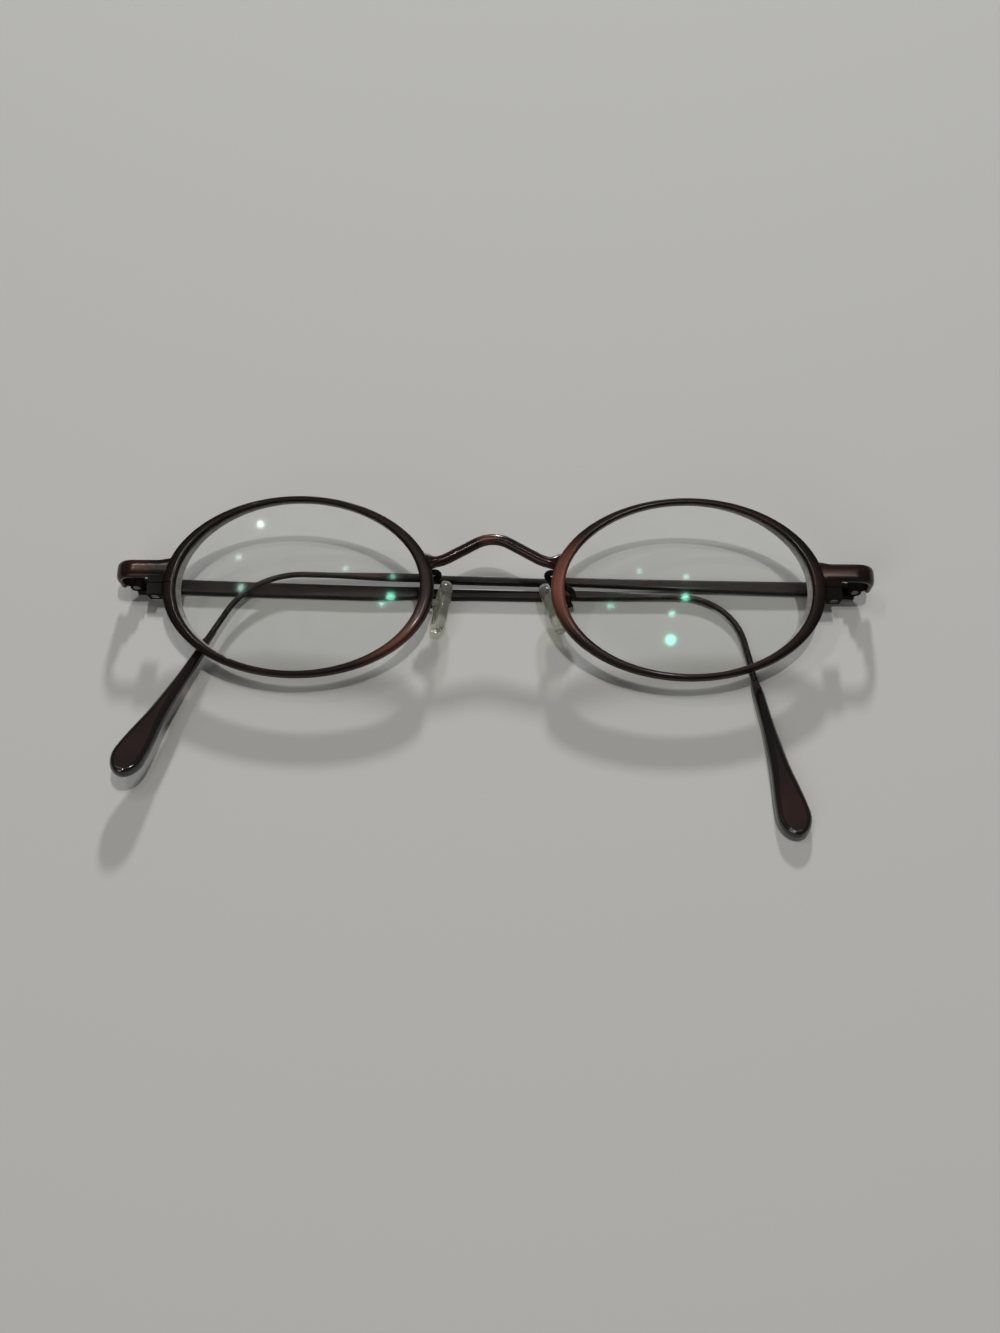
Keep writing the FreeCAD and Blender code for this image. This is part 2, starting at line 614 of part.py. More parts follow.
def hinge(side, word, endpiece, lift):
    place = pivot_place(side)
    plate = side_block(
        word + "_front_plate", side, lug_face + " - leaf_thickness", "pivot_inset - strip_thickness / 2",
        ["-" + hinge_half, leaf_start], [hinge_half, "leaf_length"],
    )
    pieces = [plate]
    for end, low, high in (("low", "-" + hinge_half, "-" + outer_start), ("high", outer_start, hinge_half)):
        pieces.append(rod(word + "_front_knuckle_" + end, "knuckle_radius", low, high))
        arm_low, arm_high = [low, "butt_gap + knuckle_gap"], [high, leaf_start + " + leaf_thickness"]
        name = word + "_front_arm_" + end
        pieces.append(side_block(name, side, "0", lug_face + " + knuckle_gap", arm_low, arm_high))
    bore = rod(word + "_front_bore", "pin_radius + screw_play", "-2 * " + hinge_half, "2 * " + hinge_half)
    leaf = cut(word + "_front_leaf_drilled", fuse(word + "_front_leaf_blank", pieces), bore)
    leaf.Placement = place
    keep(cut(word + "_front_leaf_fitted", leaf, endpiece), word + "_front_leaf")

    plate = side_block(
        word + "_temple_plate", side, "-leaf_length", "-" + leaf_start,
        ["-plate_half_height", temple_face], ["plate_half_height", temple_face + " + leaf_thickness"],
    )
    knuckle = rod(word + "_temple_knuckle", "knuckle_radius", "-" + mid_half, mid_half)
    arm = side_block(
        word + "_temple_arm", side, "-%s - leaf_thickness" % leaf_start, "-pin_radius / 2",
        ["-" + mid_half, temple_face], [mid_half, "0"],
    )
    bore = rod(word + "_temple_bore", "pin_radius + screw_play", "-" + hinge_half, hinge_half)
    leaf = cut(word + "_temple_leaf_drilled", fuse(word + "_temple_leaf_blank", [plate, knuckle, arm]), bore)
    keep(leaf, word + "_temple_leaf", pivot_place(side, lift))

    shank = rod(word + "_pin_shank", "pin_radius", "-" + hinge_half, hinge_half)
    head = rod(word + "_pin_head", "pin_head_radius", hinge_half, hinge_half + " + pin_head_height")
    slot = block(
        word + "_pin_slot",
        ["-pin_head_radius", hinge_half + " + pin_head_height - slot_width", "-slot_width / 2"],
        ["pin_head_radius", hinge_half + " + pin_head_height", "slot_width / 2"],
    )
    keep(cut(word + "_pin", fuse(word + "_pin_blank", [shank, head]), slot), word + "_hinge_screw", place)


hinge(1, "right", right_endpiece, "right_fold_lift")
hinge(-1, "left", left_endpiece, "0")


# Temples: a flat bar that tapers to a wire, bent down to the tip

def hook_bank(word):
    """Turn about the bar that raises a hook off the table."""
    return FreeCAD.Rotation(FreeCAD.Vector(1, 0, 0), -size("hook_rise_" + word))


def temple(side, word, lift):
    body = doc.addObject("PartDesign::Body", word + "_temple_body")
    bar_middle = "temple_thickness / 2 - pivot_inset"
    wire_middle = "tip_start_radius - pivot_inset"
    corner = "bar_length_" + word
    bend = "hook_radius_" + word
    angle = "hook_angle_" + word
    wire_start = "(%s - %s - 2 * core_radius)" % (corner, bend)
    sections = []
    for name, along, half_y, half_z, edge, middle in (
        ("butt", "butt_length", "butt_height / 2", "temple_thickness / 2", "bar_round", bar_middle),
        ("bar", "-bar_taper", "bar_height / 2", "temple_thickness / 2", "bar_round", bar_middle),
        ("flat", "-bar_flat", "bar_height / 2", "temple_thickness / 2", "bar_round", bar_middle),
        ("wire", "-" + wire_start, "core_radius", "core_radius", "core_radius * 0.95", wire_middle),
    ):
        name = word + "_" + name + "_section"
        offset = "%d * (%s)" % (side, along)
        outline = rectangle_sketch(body, name, "YZ_Plane", half_y, half_z, edge, ("0", middle), offset)
        sections.append(outline)
    run = "(wire_length_%s + core_length)" % word
    corners = [
        ("-%d * %s" % (side, wire_start), "0"),
        ("-%d * %s" % (side, corner), "0"),
        (
            "-%d * (%s + %s * cos(%s * 1 deg))" % (side, corner, run, angle),
            "-%s * sin(%s * 1 deg)" % (run, angle),
        ),
    ]
    path = path_sketch(body, word + "_hook_path", "XY_Plane", corners, [bend], offset=wire_middle)
    path.AttachmentOffset = FreeCAD.Placement(path.AttachmentOffset.Base, hook_bank(word))
    doc.recompute()
    bar = body.newObject("PartDesign::AdditiveLoft", word + "_bar_loft")
    bar.Profile = sections[0]
    bar.Sections = sections[1:]
    bar.Ruled = True
    doc.recompute()
    pipe(body, word + "_hook_pipe", sections[-1], path)
    keep(body, word + "_temple", pivot_place(side, lift))


# Tips: a sleeve that swells into a flat teardrop with a rounded end

def tip_place(side, word, lift):
    turn = math.radians(size("hook_angle_" + word))
    bank = hook_bank(word)
    along = bank.multVec(FreeCAD.Vector(-side * math.cos(turn), -math.sin(turn), 0))
    upward = bank.multVec(FreeCAD.Vector(0, 0, 1))
    start = FreeCAD.Vector(-side * size("bar_length_" + word), 0, size("tip_start_radius - pivot_inset"))
    start += along * size("wire_length_" + word)
    rotation = FreeCAD.Rotation(upward.cross(along), upward, along, "ZYX")
    return pivot_place(side, lift).multiply(FreeCAD.Placement(start, rotation))


def tip(side, word, lift):
    swell = "(paddle_half_width - tip_start_radius)"
    thick = "(paddle_thickness / 2 - tip_start_radius)"
    rings = []
    for along, wide, deep in TIP_STATIONS:
        half_width = "tip_start_radius + %s * %s" % (swell, wide)
        half_depth = "tip_start_radius + %s * %s" % (thick, deep)
        rings.append(("tip_length * %s" % along, half_width, half_depth, "%s * %s" % (thick, deep)))
    for along, share in TIP_END:
        half_width = "paddle_half_width * %s" % share
        half_depth = "paddle_thickness / 2 * %s" % share
        rings.append(("tip_length * %s" % along, half_width, half_depth, thick))
    sleeve = stacked(word + "_tip_blank", rings)
    bore = add("Part::Cylinder", word + "_tip_bore", Radius="core_radius + sleeve_play")
    bind(bore, Height="core_length + sleeve_play")
    keep(cut(word + "_tip_cut", sleeve, bore), word + "_tip", tip_place(side, word, lift))


# Share of the sleeve's length, and how far width and thickness have grown there
TIP_STATIONS = [(0.0, 0.0, 0.0), (0.35, 0.12, 0.3), (0.6, 0.4, 0.7), (0.74, 0.76, 0.93), (0.87, 1.0, 1.0)]
# The rounded end: share of the length, and what is left of width and thickness there
TIP_END = [(0.94, 0.87), (0.98, 0.58), (1.0, 0.22)]
for side, word, lift in ((1, "right", "right_fold_lift"), (-1, "left", "0")):
    temple(side, word, lift)
    tip(side, word, lift)


# Nose pads: a wire arm on each rim, a box on it, and a pad that rocks on its screw
# Pad profile: share of its thickness, and how much of its rounding is taken off there
PAD_STATIONS = [(0.0, 0.4), (0.15, 0.0), (0.6, 0.0), (0.85, 0.4), (1.0, 1.0)]


def nose_pad(side, word, rim):
    place = pad_place(side, word)
    ear_inner = "(boss_width / 2 + box_play)"
    ear_outer = "(boss_width / 2 + box_play + box_wall)"
    box_front = "(pad_stand - 2 * box_wall)"
    box_half = "(boss_height / 2 + box_wall / 2)"
    outer = block(
        word + "_box_blank",
        ["-" + box_half, "-" + ear_outer, box_front + " - box_depth"],
        [box_half, ear_outer, box_front],
    )
    inner = block(
        word + "_box_hollow",
        ["-2 * " + box_half, "-" + ear_inner, box_front + " - box_depth + box_wall"],
        ["2 * " + box_half, ear_inner, "pad_stand"],
    )
    hole = rod(word + "_box_hole", "pad_screw_radius + screw_play", "-2 * " + ear_outer, "2 * " + ear_outer)
    box = cut(word + "_box", outer, fuse(word + "_box_cutters", [inner, hole]))
    keep(box, word + "_pad_box", place)

    plate_length, plate_width = "pad_half_length - insert_margin", "pad_half_width - insert_margin"
    plate_top = "pad_stand + insert_thickness"
    plate = oval_prism(word + "_insert_plate", plate_length, plate_width, plate_top, "pad_stand")
    boss = block(
        word + "_boss",
        ["-boss_height / 2", "-boss_width / 2", "-boss_height / 2"],
        ["boss_height / 2", "boss_width / 2", "pad_stand + insert_thickness / 2"],
    )
    boss_hole = rod(word + "_boss_hole", "pad_screw_radius + screw_play", "-boss_width", "boss_width")
    insert = cut(word + "_insert", fuse(word + "_insert_blank", [plate, boss]), boss_hole)
    keep(insert, word + "_pad_insert", place)

    rings = []
    for rise, inset in PAD_STATIONS:
        half_length = "pad_half_length - pad_round * %s" % inset
        half_width = "pad_half_width - pad_round * %s" % inset
        rings.append(("pad_stand + pad_thickness * %s" % rise, half_length, half_width, "0"))
    soft = stacked(word + "_pad_blank", rings)
    keep(cut(word + "_pad_cut", soft, fuse(word + "_pad_pocket", [plate, boss])), word + "_pad", place)

    head_low, head_high = outward(side * -1, ear_outer, ear_outer + " + box_wall")
    shank_low, shank_high = outward(side * -1, "-" + ear_outer, ear_outer)
    shank = rod(word + "_pad_shank", "pad_screw_radius", shank_low, shank_high)
    head = rod(word + "_pad_screw_cap", "pad_screw_head", head_low, head_high)
    slot_low, slot_high = outward(side * -1, ear_outer + " + box_wall / 2", ear_outer + " + box_wall")
    slot = block(
        word + "_pad_slot",
        ["-pad_screw_head", slot_low, "-slot_width / 2"],
        ["pad_screw_head", slot_high, "slot_width / 2"],
    )
    screw = cut(word + "_pad_screw_cut", fuse(word + "_pad_screw_blank", [shank, head]), slot)
    keep(screw, word + "_pad_screw", place)

    arm = doc.addObject("Part::Feature", word + "_arm")
    arm.Shape = arm_wire(side, place)
    keep(cut(word + "_arm_cut", arm, fuse(word + "_arm_cutters", [rim, box])), word + "_pad_arm")


def bent_wire(points, radius):
    """Straight runs through the points, with a bend at each inner one."""
    runs = []
    start = points[0]
    for before, corner, after in zip(points, points[1:], points[2:]):
        toward = (before - corner).normalize()
        away = (after - corner).normalize()
        half = toward.getAngle(away) / 2
        middle = corner + (toward + away).normalize() * (radius / math.sin(half))
        first = corner + toward * (radius / math.tan(half))
        last = corner + away * (radius / math.tan(half))
        crest = middle + (corner - middle).normalize() * radius
        runs.append(Part.makeLine(start, first))
        runs.append(Part.Arc(first, crest, last).toShape())
        start = last
    runs.append(Part.makeLine(start, points[-1]))
    return Part.Wire(runs)


def arm_wire(side, place):
    """Round wire from the rim's back, round a loop and onto the back of the pad box."""
    rise = size("arm_rise")
    reach = size("arm_reach")
    wide = size("rim_half_width") * math.sqrt(1 - (rise / size("rim_half_height")) ** 2)
    rim_edge = size("eye_offset") - wide
    front = front_place()
    rear = FreeCAD.Vector(0, 0, size("pad_stand - 2 * box_wall - box_depth - arm_radius"))
    above = FreeCAD.Vector(size("boss_height"), 0, size("pad_stand - box_depth - 3 * arm_radius"))
    radius = size("arm_radius")
    spots = [
        FreeCAD.Vector(side * (rim_edge + size("rim_side / 2")), rise, -radius),
        FreeCAD.Vector(side * (rim_edge - size("arm_swing")), rise + radius, -reach * 0.5),
        FreeCAD.Vector(side * (rim_edge + 2 * radius), rise - reach * 0.4, -reach - radius),
    ]
    points = [front.multVec(spot) for spot in spots] + [place.multVec(above), place.multVec(rear)]
    spine = bent_wire(points, size("arm_bend"))
    ring = Part.Wire(Part.makeCircle(size("arm_radius"), points[0], points[1] - points[0]))
    return spine.makePipeShell([ring], True, True)


nose_pad(1, "right", right_rim)
nose_pad(-1, "left", left_rim)

# Check every object before anything is written
doc.recompute()
for item in doc.Objects:
    if "Invalid" in item.State or "Error" in item.State:
        raise RuntimeError("%s failed: %s" % (item.Name, item.State))
os.makedirs("parts", exist_ok=True)
for piece in nodes:
    if piece.Shape.isNull() or not piece.Shape.isValid():
        raise RuntimeError(piece.Label + " has no valid shape")
    piece.Shape.exportStep("parts/%s.step" % piece.Label)
print(len(nodes), "nodes written")
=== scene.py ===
import bpy
import bmesh
import json
import math
from mathutils import Matrix, Vector


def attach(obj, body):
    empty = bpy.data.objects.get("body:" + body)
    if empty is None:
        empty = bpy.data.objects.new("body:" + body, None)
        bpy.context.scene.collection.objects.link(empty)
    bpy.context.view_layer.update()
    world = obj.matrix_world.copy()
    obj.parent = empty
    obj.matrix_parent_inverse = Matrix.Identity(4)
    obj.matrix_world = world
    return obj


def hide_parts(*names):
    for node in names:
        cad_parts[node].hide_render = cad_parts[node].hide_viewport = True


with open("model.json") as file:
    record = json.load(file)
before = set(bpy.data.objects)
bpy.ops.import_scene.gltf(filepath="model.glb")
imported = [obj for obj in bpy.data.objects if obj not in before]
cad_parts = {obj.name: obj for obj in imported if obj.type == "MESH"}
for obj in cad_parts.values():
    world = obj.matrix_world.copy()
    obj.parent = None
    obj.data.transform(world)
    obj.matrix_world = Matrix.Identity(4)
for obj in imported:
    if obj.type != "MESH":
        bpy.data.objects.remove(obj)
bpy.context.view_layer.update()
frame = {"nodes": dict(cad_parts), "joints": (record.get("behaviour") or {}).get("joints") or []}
print("frame loaded:", len(frame["nodes"]), "nodes")

mm = 0.001
sides = {"right": 1, "left": -1}


class Value:
    # A socket that can be used in a Python expression
    def __init__(self, finish, socket):
        self.finish = finish
        self.socket = socket

    def maths(self, operation, first, second):
        return self.finish.value("ShaderNodeMath", {"operation": operation}, {0: first, 1: second})

    def __add__(self, other):
        return self.maths("ADD", self, other)

    def __radd__(self, other):
        return self.maths("ADD", other, self)

    def __sub__(self, other):
        return self.maths("SUBTRACT", self, other)

    def __rsub__(self, other):
        return self.maths("SUBTRACT", other, self)

    def __mul__(self, other):
        return self.maths("MULTIPLY", self, other)

    def __rmul__(self, other):
        return self.maths("MULTIPLY", other, self)

    def maximum(self, other):
        return self.maths("MAXIMUM", self, other)


class Finish:
    # A material with one main shader, and one method that adds any node
    def __init__(self, name, shine):
        self.material = bpy.data.materials.new(name)
        self.material.use_nodes = True
        self.nodes = self.material.node_tree.nodes
        self.links = self.material.node_tree.links
        self.nodes.clear()
        self.output = self.nodes.new("ShaderNodeOutputMaterial")
        self.shader = self.nodes.new("ShaderNodeBsdfPrincipled")
        for socket, amount in shine.items():
            self.shader.inputs[socket].default_value = amount
        self.connect(self.shader.outputs[0], self.output.inputs["Surface"])
        self.place = self.add("ShaderNodeTexCoord").outputs["Object"]

    def connect(self, source, target):
        self.links.new(source.socket if isinstance(source, Value) else source, target)

    def add(self, kind, settings=None, sockets=None):
        node = self.nodes.new(kind)
        for name, setting in (settings or {}).items():
            setattr(node, name, setting)
        for name, source in (sockets or {}).items():
            if isinstance(source, (Value, bpy.types.NodeSocket)):
                self.connect(source, node.inputs[name])
            else:
                node.inputs[name].default_value = source
        return node

    def value(self, kind, settings=None, sockets=None, output=0):
        return Value(self, self.add(kind, settings, sockets).outputs[output])

    def drive(self, socket, source):
        self.connect(source, self.shader.inputs[socket])

    def noise(self, scale, detail, roughness, stretch=(1, 1, 1)):
        spot = self.value("ShaderNodeMapping", {}, {"Vector": self.place, "Scale": stretch})
        sockets = {"Vector": spot, "Scale": scale, "Detail": detail, "Roughness": roughness}
        return self.value("ShaderNodeTexNoise", {"noise_dimensions": "3D"}, sockets)

    def band(self, source, low, high):
        # 0 below low, 1 above high
        sockets = {"Value": source, "From Min": low, "From Max": high}
        return self.value("ShaderNodeMapRange", {"clamp": True}, sockets)

    def blend(self, amount, first, second):
        settings = {"data_type": "RGBA", "blend_type": "MIX"}
        return self.value("ShaderNodeMix", settings, {"Factor": amount, 6: first, 7: second}, 2)

    def dent(self, height, strength, distance):
        sockets = {"Height": height, "Strength": strength, "Distance": distance}
        self.drive("Normal", self.value("ShaderNodeBump", {}, sockets))

    def paint(self, source, edge, first, second):
        self.drive("Base Color", self.blend(self.band(source, *edge), first, second))

    def letThrough(self, tint):
        # Shadow and diffuse rays pass straight on, so the lamps light the table through the piece
        clear = self.add("ShaderNodeBsdfTransparent", {}, {"Color": tint})
        rays = self.add("ShaderNodeLightPath").outputs
        lit = Value(self, rays["Is Shadow Ray"]).maximum(rays["Is Diffuse Ray"])
        sockets = {0: lit, 1: self.shader.outputs[0], 2: clear.outputs[0]}
        mixed = self.add("ShaderNodeMixShader", {}, sockets)
        self.connect(mixed.outputs[0], self.output.inputs["Surface"])


# In each finish a noise is its scale, detail, roughness and stretch, an edge is where a blend
# starts and ends, and a bump is its strength and distance.

# Dark see-through lacquer over copper-coloured metal: warm patches, wear and fine scratches, plus
# painted copper highlights. A painted highlight is a spot, its reach and its strength.
lacquer = {
    "dark": (0.0062, 0.005, 0.0044, 1),
    "brown": (0.021, 0.0095, 0.0078, 1),
    "worn": (0.11, 0.06, 0.042, 1),
    "highlightCopper": (0.14, 0.046, 0.03, 1),
    "patches": (120.0, 5.0, 0.6),
    "specks": (1680.0, 3.0, 0.7),
    "scratches": (2600.0, 2.0, 0.5, (0.06, 1, 1)),
    "warmEdge": (0.62, 0.85),
    "highlightEdge": (1.5, 0.45),
    "highlightRagged": 0.004,
    "speckEdge": (0.62, 0.78),
    "wornEdge": (0.45, 0.65),
    "wornAmount": 0.5,
    "warmMetal": 0.2,
    "scratchRoughness": 0.14,
    "wornRoughness": 0.1,
    "coatRoughness": 0.1,
    "coatShare": 0.6,
    "wornCoat": 0.3,
    "scratchDepth": 0.4,
    "bump": (0.12, 0.000012),
    "rim": {
        "warmth": 0.1,
        "roughness": 0.33,
        "metal": 0.15,
        "gloss": 0.09,
        "sheen": (1.0, 0.8, 0.7, 1),
        # Painted highlights on the rims
        "paintedHighlights": [
            ((0.0115, -0.0035, 0.0085), 0.0075, 0.8),
            ((-0.0145, -0.0135, 0.006), 0.007, 0.4),
        ],
    },
    "front": {
        "warmth": 0.2,
        "roughness": 0.15,
        "metal": 0.1,
        "gloss": 0.2,
        "sheen": (1.0, 0.8, 0.7, 1),
        # Painted highlights on the left endpiece strip and on the top of the bridge
        "paintedHighlights": [
            ((-0.058, -0.0002, 0.009), 0.003, 0.22),
            ((-0.001, 0.0045, 0.0108), 0.0026, 0.9),
        ],
    },
    "temple": {
        "warmth": 0.1,
        "roughness": 0.42,
        "metal": 0.12,
        "gloss": 0.12,
        "sheen": (1.0, 0.96, 0.88, 1),
        "paintedHighlights": [],
    },
    "hinge": {
        "warmth": 0.04,
        "roughness": 0.6,
        "metal": 0.0,
        "gloss": 0.02,
        "sheen": (1.0, 0.8, 0.7, 1),
        "paintedHighlights": [],
    },
}


def lacquerFinish(word):
    look = lacquer[word]
    finish = Finish(word + "Lacquer", {
        "Coat Roughness": lacquer["coatRoughness"],
        "Coat IOR": 1.45,
        "Specular IOR Level": look["gloss"],
        "Specular Tint": look["sheen"],
    })
    patches = finish.noise(*lacquer["patches"])
    specks = finish.noise(*lacquer["specks"])
    lines = finish.noise(*lacquer["scratches"])
    low, high = lacquer["warmEdge"]
    warm = finish.band(patches, low - look["warmth"], high - look["warmth"])
    color = finish.blend(warm, lacquer["dark"], lacquer["brown"])
    outer, inner = lacquer["highlightEdge"]
    # Painted highlights: the copper colour is blended in round each listed spot, in place of lamp
    # reflections
    for spot, reach, strength in look["paintedHighlights"]:
        sockets = {0: finish.place, 1: spot}
        away = finish.value("ShaderNodeVectorMath", {"operation": "DISTANCE"}, sockets, "Value")
        away = away + lacquer["highlightRagged"] * patches
        paintedHighlight = finish.band(away, reach * outer, reach * inner)
        color = finish.blend(strength * paintedHighlight, color, lacquer["highlightCopper"])
    rubbed = finish.band(specks, *lacquer["speckEdge"])
    rubbed = rubbed * finish.band(patches, *lacquer["wornEdge"])
    color = finish.blend(rubbed * lacquer["wornAmount"], color, lacquer["worn"])
    roughness = look["roughness"] + lacquer["scratchRoughness"] * lines
    coat = lacquer["coatShare"] * look["gloss"]
    finish.drive("Base Color", color)
    finish.drive("Metallic", look["metal"] + lacquer["warmMetal"] * warm)
    finish.drive("Roughness", roughness + lacquer["wornRoughness"] * rubbed)
    finish.drive("Coat Weight", coat - lacquer["wornCoat"] * look["gloss"] * rubbed)
    finish.dent(lines * lacquer["scratchDepth"] + specks, *lacquer["bump"])
    return finish.material


# Glossy moulded plastic with a faint cloud of warmer colour. Its flat face is painted lighter and
# its
# rounded edge darker: painted light and shade on one and the same plastic.
plastic = {
    "tipLitFace": {
        "deep": (0.012, 0.0068, 0.0062, 1),
        "warm": (0.027, 0.0108, 0.009, 1),
        "roughness": 0.1,
    },
    # Painted shade: the rounded edge is the same plastic, made darker and glossier
    "tipShadedEdge": {
        "deep": (0.005, 0.0032, 0.003, 1),
        "warm": (0.01, 0.0045, 0.004, 1),
        "roughness": 0.06,
    },
    "cloud": (90.0, 3.0, 0.5),
    "cloudEdge": (0.4, 0.7),
    "smear": (1500.0, 3.0, 0.6),
    "smearRoughness": 0.08,
    "coat": 0.6,
    "smearCoat": 0.2,
    "bump": (0.05, 0.00002),
}


def tipFinish(name):
    look = plastic[name]
    finish = Finish(name, {"Specular IOR Level": 0.5, "Coat Roughness": 0.04, "IOR": 1.5})
    smear = finish.noise(*plastic["smear"])
    cloud = finish.noise(*plastic["cloud"])
    finish.paint(cloud, plastic["cloudEdge"], look["deep"], look["warm"])
    finish.drive("Roughness", look["roughness"] + plastic["smearRoughness"] * smear)
    finish.drive("Coat Weight", plastic["coat"] - plastic["smearCoat"] * smear)
    finish.dent(smear, *plastic["bump"])
    return finish.material


# Clear lens with a green coating
lensLook = {
    "tint": (0.985, 0.99, 0.985, 1),
    "smudged": (0.94, 0.945, 0.94, 1),
    "sheen": (0.001, 0.014, 0.0095, 1),
    "shadow": (0.9, 0.905, 0.895, 1),
    "smudge": (260.0, 4.0, 0.6),
    "smudgeEdge": (0.5, 0.8),
}


def lensFinish():
    finish = Finish("lensGlass", {
        "Roughness": 0.05,
        "Transmission Weight": 1.0,
        "IOR": 1.5,
        "Specular IOR Level": 0.3,
        "Specular Tint": lensLook["sheen"],
    })
    smudge = finish.noise(*lensLook["smudge"])
    finish.paint(smudge, lensLook["smudgeEdge"], lensLook["tint"], lensLook["smudged"])
    finish.letThrough(lensLook["shadow"])
    return finish.material


# Ground edge of a lens: pale, matt and finely grained
groundLook = {
    "pale": (0.3, 0.295, 0.28, 1),
    "soiled": (0.17, 0.16, 0.145, 1),
    "grain": (6000.0, 3.0, 0.6),
    "soil": (700.0, 4.0, 0.6),
    "soilEdge": (0.45, 0.75),
    "roughness": 0.55,
    "grainRoughness": 0.3,
    "bump": (0.3, 0.00002),
}


def groundFinish():
    finish = Finish("lensEdge", {"Specular IOR Level": 0.3, "IOR": 1.5})
    grain = finish.noise(*groundLook["grain"])
    soil = finish.noise(*groundLook["soil"])
    finish.paint(soil, groundLook["soilEdge"], groundLook["pale"], groundLook["soiled"])
    finish.drive("Roughness", groundLook["roughness"] + groundLook["grainRoughness"] * grain)
    finish.dent(grain, *groundLook["bump"])
    return finish.material


# Soft clear silicone, a little yellow and cloudy inside
siliconeLook = {
    "clear": (0.94, 0.94, 0.87, 1),
    "aged": (0.85, 0.84, 0.72, 1),
    "shadow": (0.72, 0.72, 0.64, 1),
    "cloud": (420.0, 4.0, 0.6),
    "agedEdge": (0.35, 0.7),
    "cloudEdge": (0.4, 0.7),
    "grain": (2400.0, 2.0, 0.5),
    "roughness": 0.03,
    "cloudRoughness": 0.09,
    "bump": (0.2, 0.00006),
}


def siliconeFinish():
    shine = {"Transmission Weight": 0.95, "IOR": 1.41, "Specular IOR Level": 0.5}
    finish = Finish("padSilicone", shine)
    cloud = finish.noise(*siliconeLook["cloud"])
    grain = finish.noise(*siliconeLook["grain"])
    cloudy = siliconeLook["cloudRoughness"] * finish.band(cloud, *siliconeLook["cloudEdge"])
    finish.paint(cloud, siliconeLook["agedEdge"], siliconeLook["clear"], siliconeLook["aged"])
    finish.drive("Roughness", siliconeLook["roughness"] + cloudy)
    finish.dent(grain + cloud, *siliconeLook["bump"])
    finish.letThrough(siliconeLook["shadow"])
    return finish.material


# Stiff plate inside each pad, milky and slightly rough
insertLook = {
    "dull": (0.3, 0.29, 0.22, 1),
    "milky": (0.55, 0.53, 0.42, 1),
    "mottle": (900.0, 3.0, 0.5),
    "roughness": 0.25,
    "mottleRoughness": 0.2,
    "bump": (0.1, 0.00003),
}


def insertFinish():
    shine = {"Specular IOR Level": 0.5, "IOR": 1.49, "Transmission Weight": 0.75}
    finish = Finish("insertPlastic", shine)
    mottle = finish.noise(*insertLook["mottle"])
    finish.drive("Base Color", finish.blend(mottle, insertLook["dull"], insertLook["milky"]))
    finish.drive("Roughness", insertLook["roughness"] + insertLook["mottleRoughness"] * mottle)
    finish.dent(mottle, *insertLook["bump"])
    return finish.material


# Turned steel: fine rings round the axis and dirt in the hollows
steelLook = {
    "bright": (0.22, 0.205, 0.185, 1),
    "dirty": (0.07, 0.06, 0.05, 1),
    "rings": (5200.0, 2.0, 0.5, (1, 0.1, 1)),
    "dirt": (800.0, 4.0, 0.6),
    "dirtEdge": (0.42, 0.62),
    "roughness": 0.24,
    "ringRoughness": 0.2,
    "dirtRoughness": 0.2,
    "bump": (0.2, 0.00002),
}


def screwFinish():
    finish = Finish("screwSteel", {"Metallic": 1.0})
    rings = finish.noise(*steelLook["rings"])
    dirt = finish.noise(*steelLook["dirt"])
    dark = finish.band(dirt, *steelLook["dirtEdge"])
    roughness = steelLook["roughness"] + steelLook["ringRoughness"] * rings
    finish.drive("Base Color", finish.blend(dark, steelLook["bright"], steelLook["dirty"]))
    finish.drive("Roughness", roughness + steelLook["dirtRoughness"] * dark)
    finish.dent(rings, *steelLook["bump"])
    return finish.material


finishes = {
    "rim": lacquerFinish("rim"),
    "front": lacquerFinish("front"),
    "temple": lacquerFinish("temple"),
    "hinge": lacquerFinish("hinge"),
    "tip": tipFinish("tipLitFace"),
    "tipShadedEdge": tipFinish("tipShadedEdge"),
    "lens": lensFinish(),
    "ground": groundFinish(),
    "silicone": siliconeFinish(),
    "insert": insertFinish(),
    "screw": screwFinish(),
}
print("finishes made:", len(finishes))


# Frames of the front, the eyes, the hinges and the pads, as in the solids
front = {
    "tilt": 14.0,
    "base": Vector((0, -3.76707, 8.64)) * mm,
    "eyeOffset": 31.65 * mm,
    "lift": 1.85 * mm,
    "wrap": 1.5,
    "turn": 0.9,
    "curve": 180.0 * mm,
}


def turned(degrees, axis):
    return Matrix.Rotation(math.radians(degrees), 4, axis)


frontFrame = Matrix.Translation(front["base"]) @ turned(front["tilt"], "X")
eyeMove = Matrix.Translation((front["eyeOffset"], 0, front["lift"]))
rightEye = frontFrame @ eyeMove @ turned(front["wrap"], "Y") @ turned(front["turn"], "Z")
flip = Matrix.Diagonal((-1, 1, 1, 1))
eyeFrames = {"right": rightEye, "left": flip @ rightEye}
joints = {joint["name"]: joint for joint in frame["joints"]}


def hingeFrame(word, lift):
    joint = joints[word + "_temple_fold"]
    side = sides[word]
    along = Vector(joint["axis"]) * -side
    skew = math.degrees(math.atan2(along.x, along.y))
    spot = Matrix.Translation(joint["pos_m"])
    return spot @ turned(-skew, "Z") @ turned(side * lift, "Y")


def ringTube(count, segments):
    # A tube of rings, extruded one step up at a time, which the caller then puts in place
    tube = bmesh.new()
    bmesh.ops.create_circle(tube, cap_ends=False, radius=1.0, segments=segments)
    edges = tube.edges[:]
    for step in range(count - 1):
        grown = bmesh.ops.extrude_edge_only(tube, edges=edges)["geom"]
        verts = [item for item in grown if isinstance(item, bmesh.types.BMVert)]
        bmesh.ops.translate(tube, verts=verts, vec=(0, 0, 1))
        fresh = set(verts)
        edges = [edge for edge in tube.edges if edge.verts[0] in fresh and edge.verts[1] in fresh]
    bmesh.ops.holes_fill(tube, edges=tube.edges[:], sides=0)
    return tube


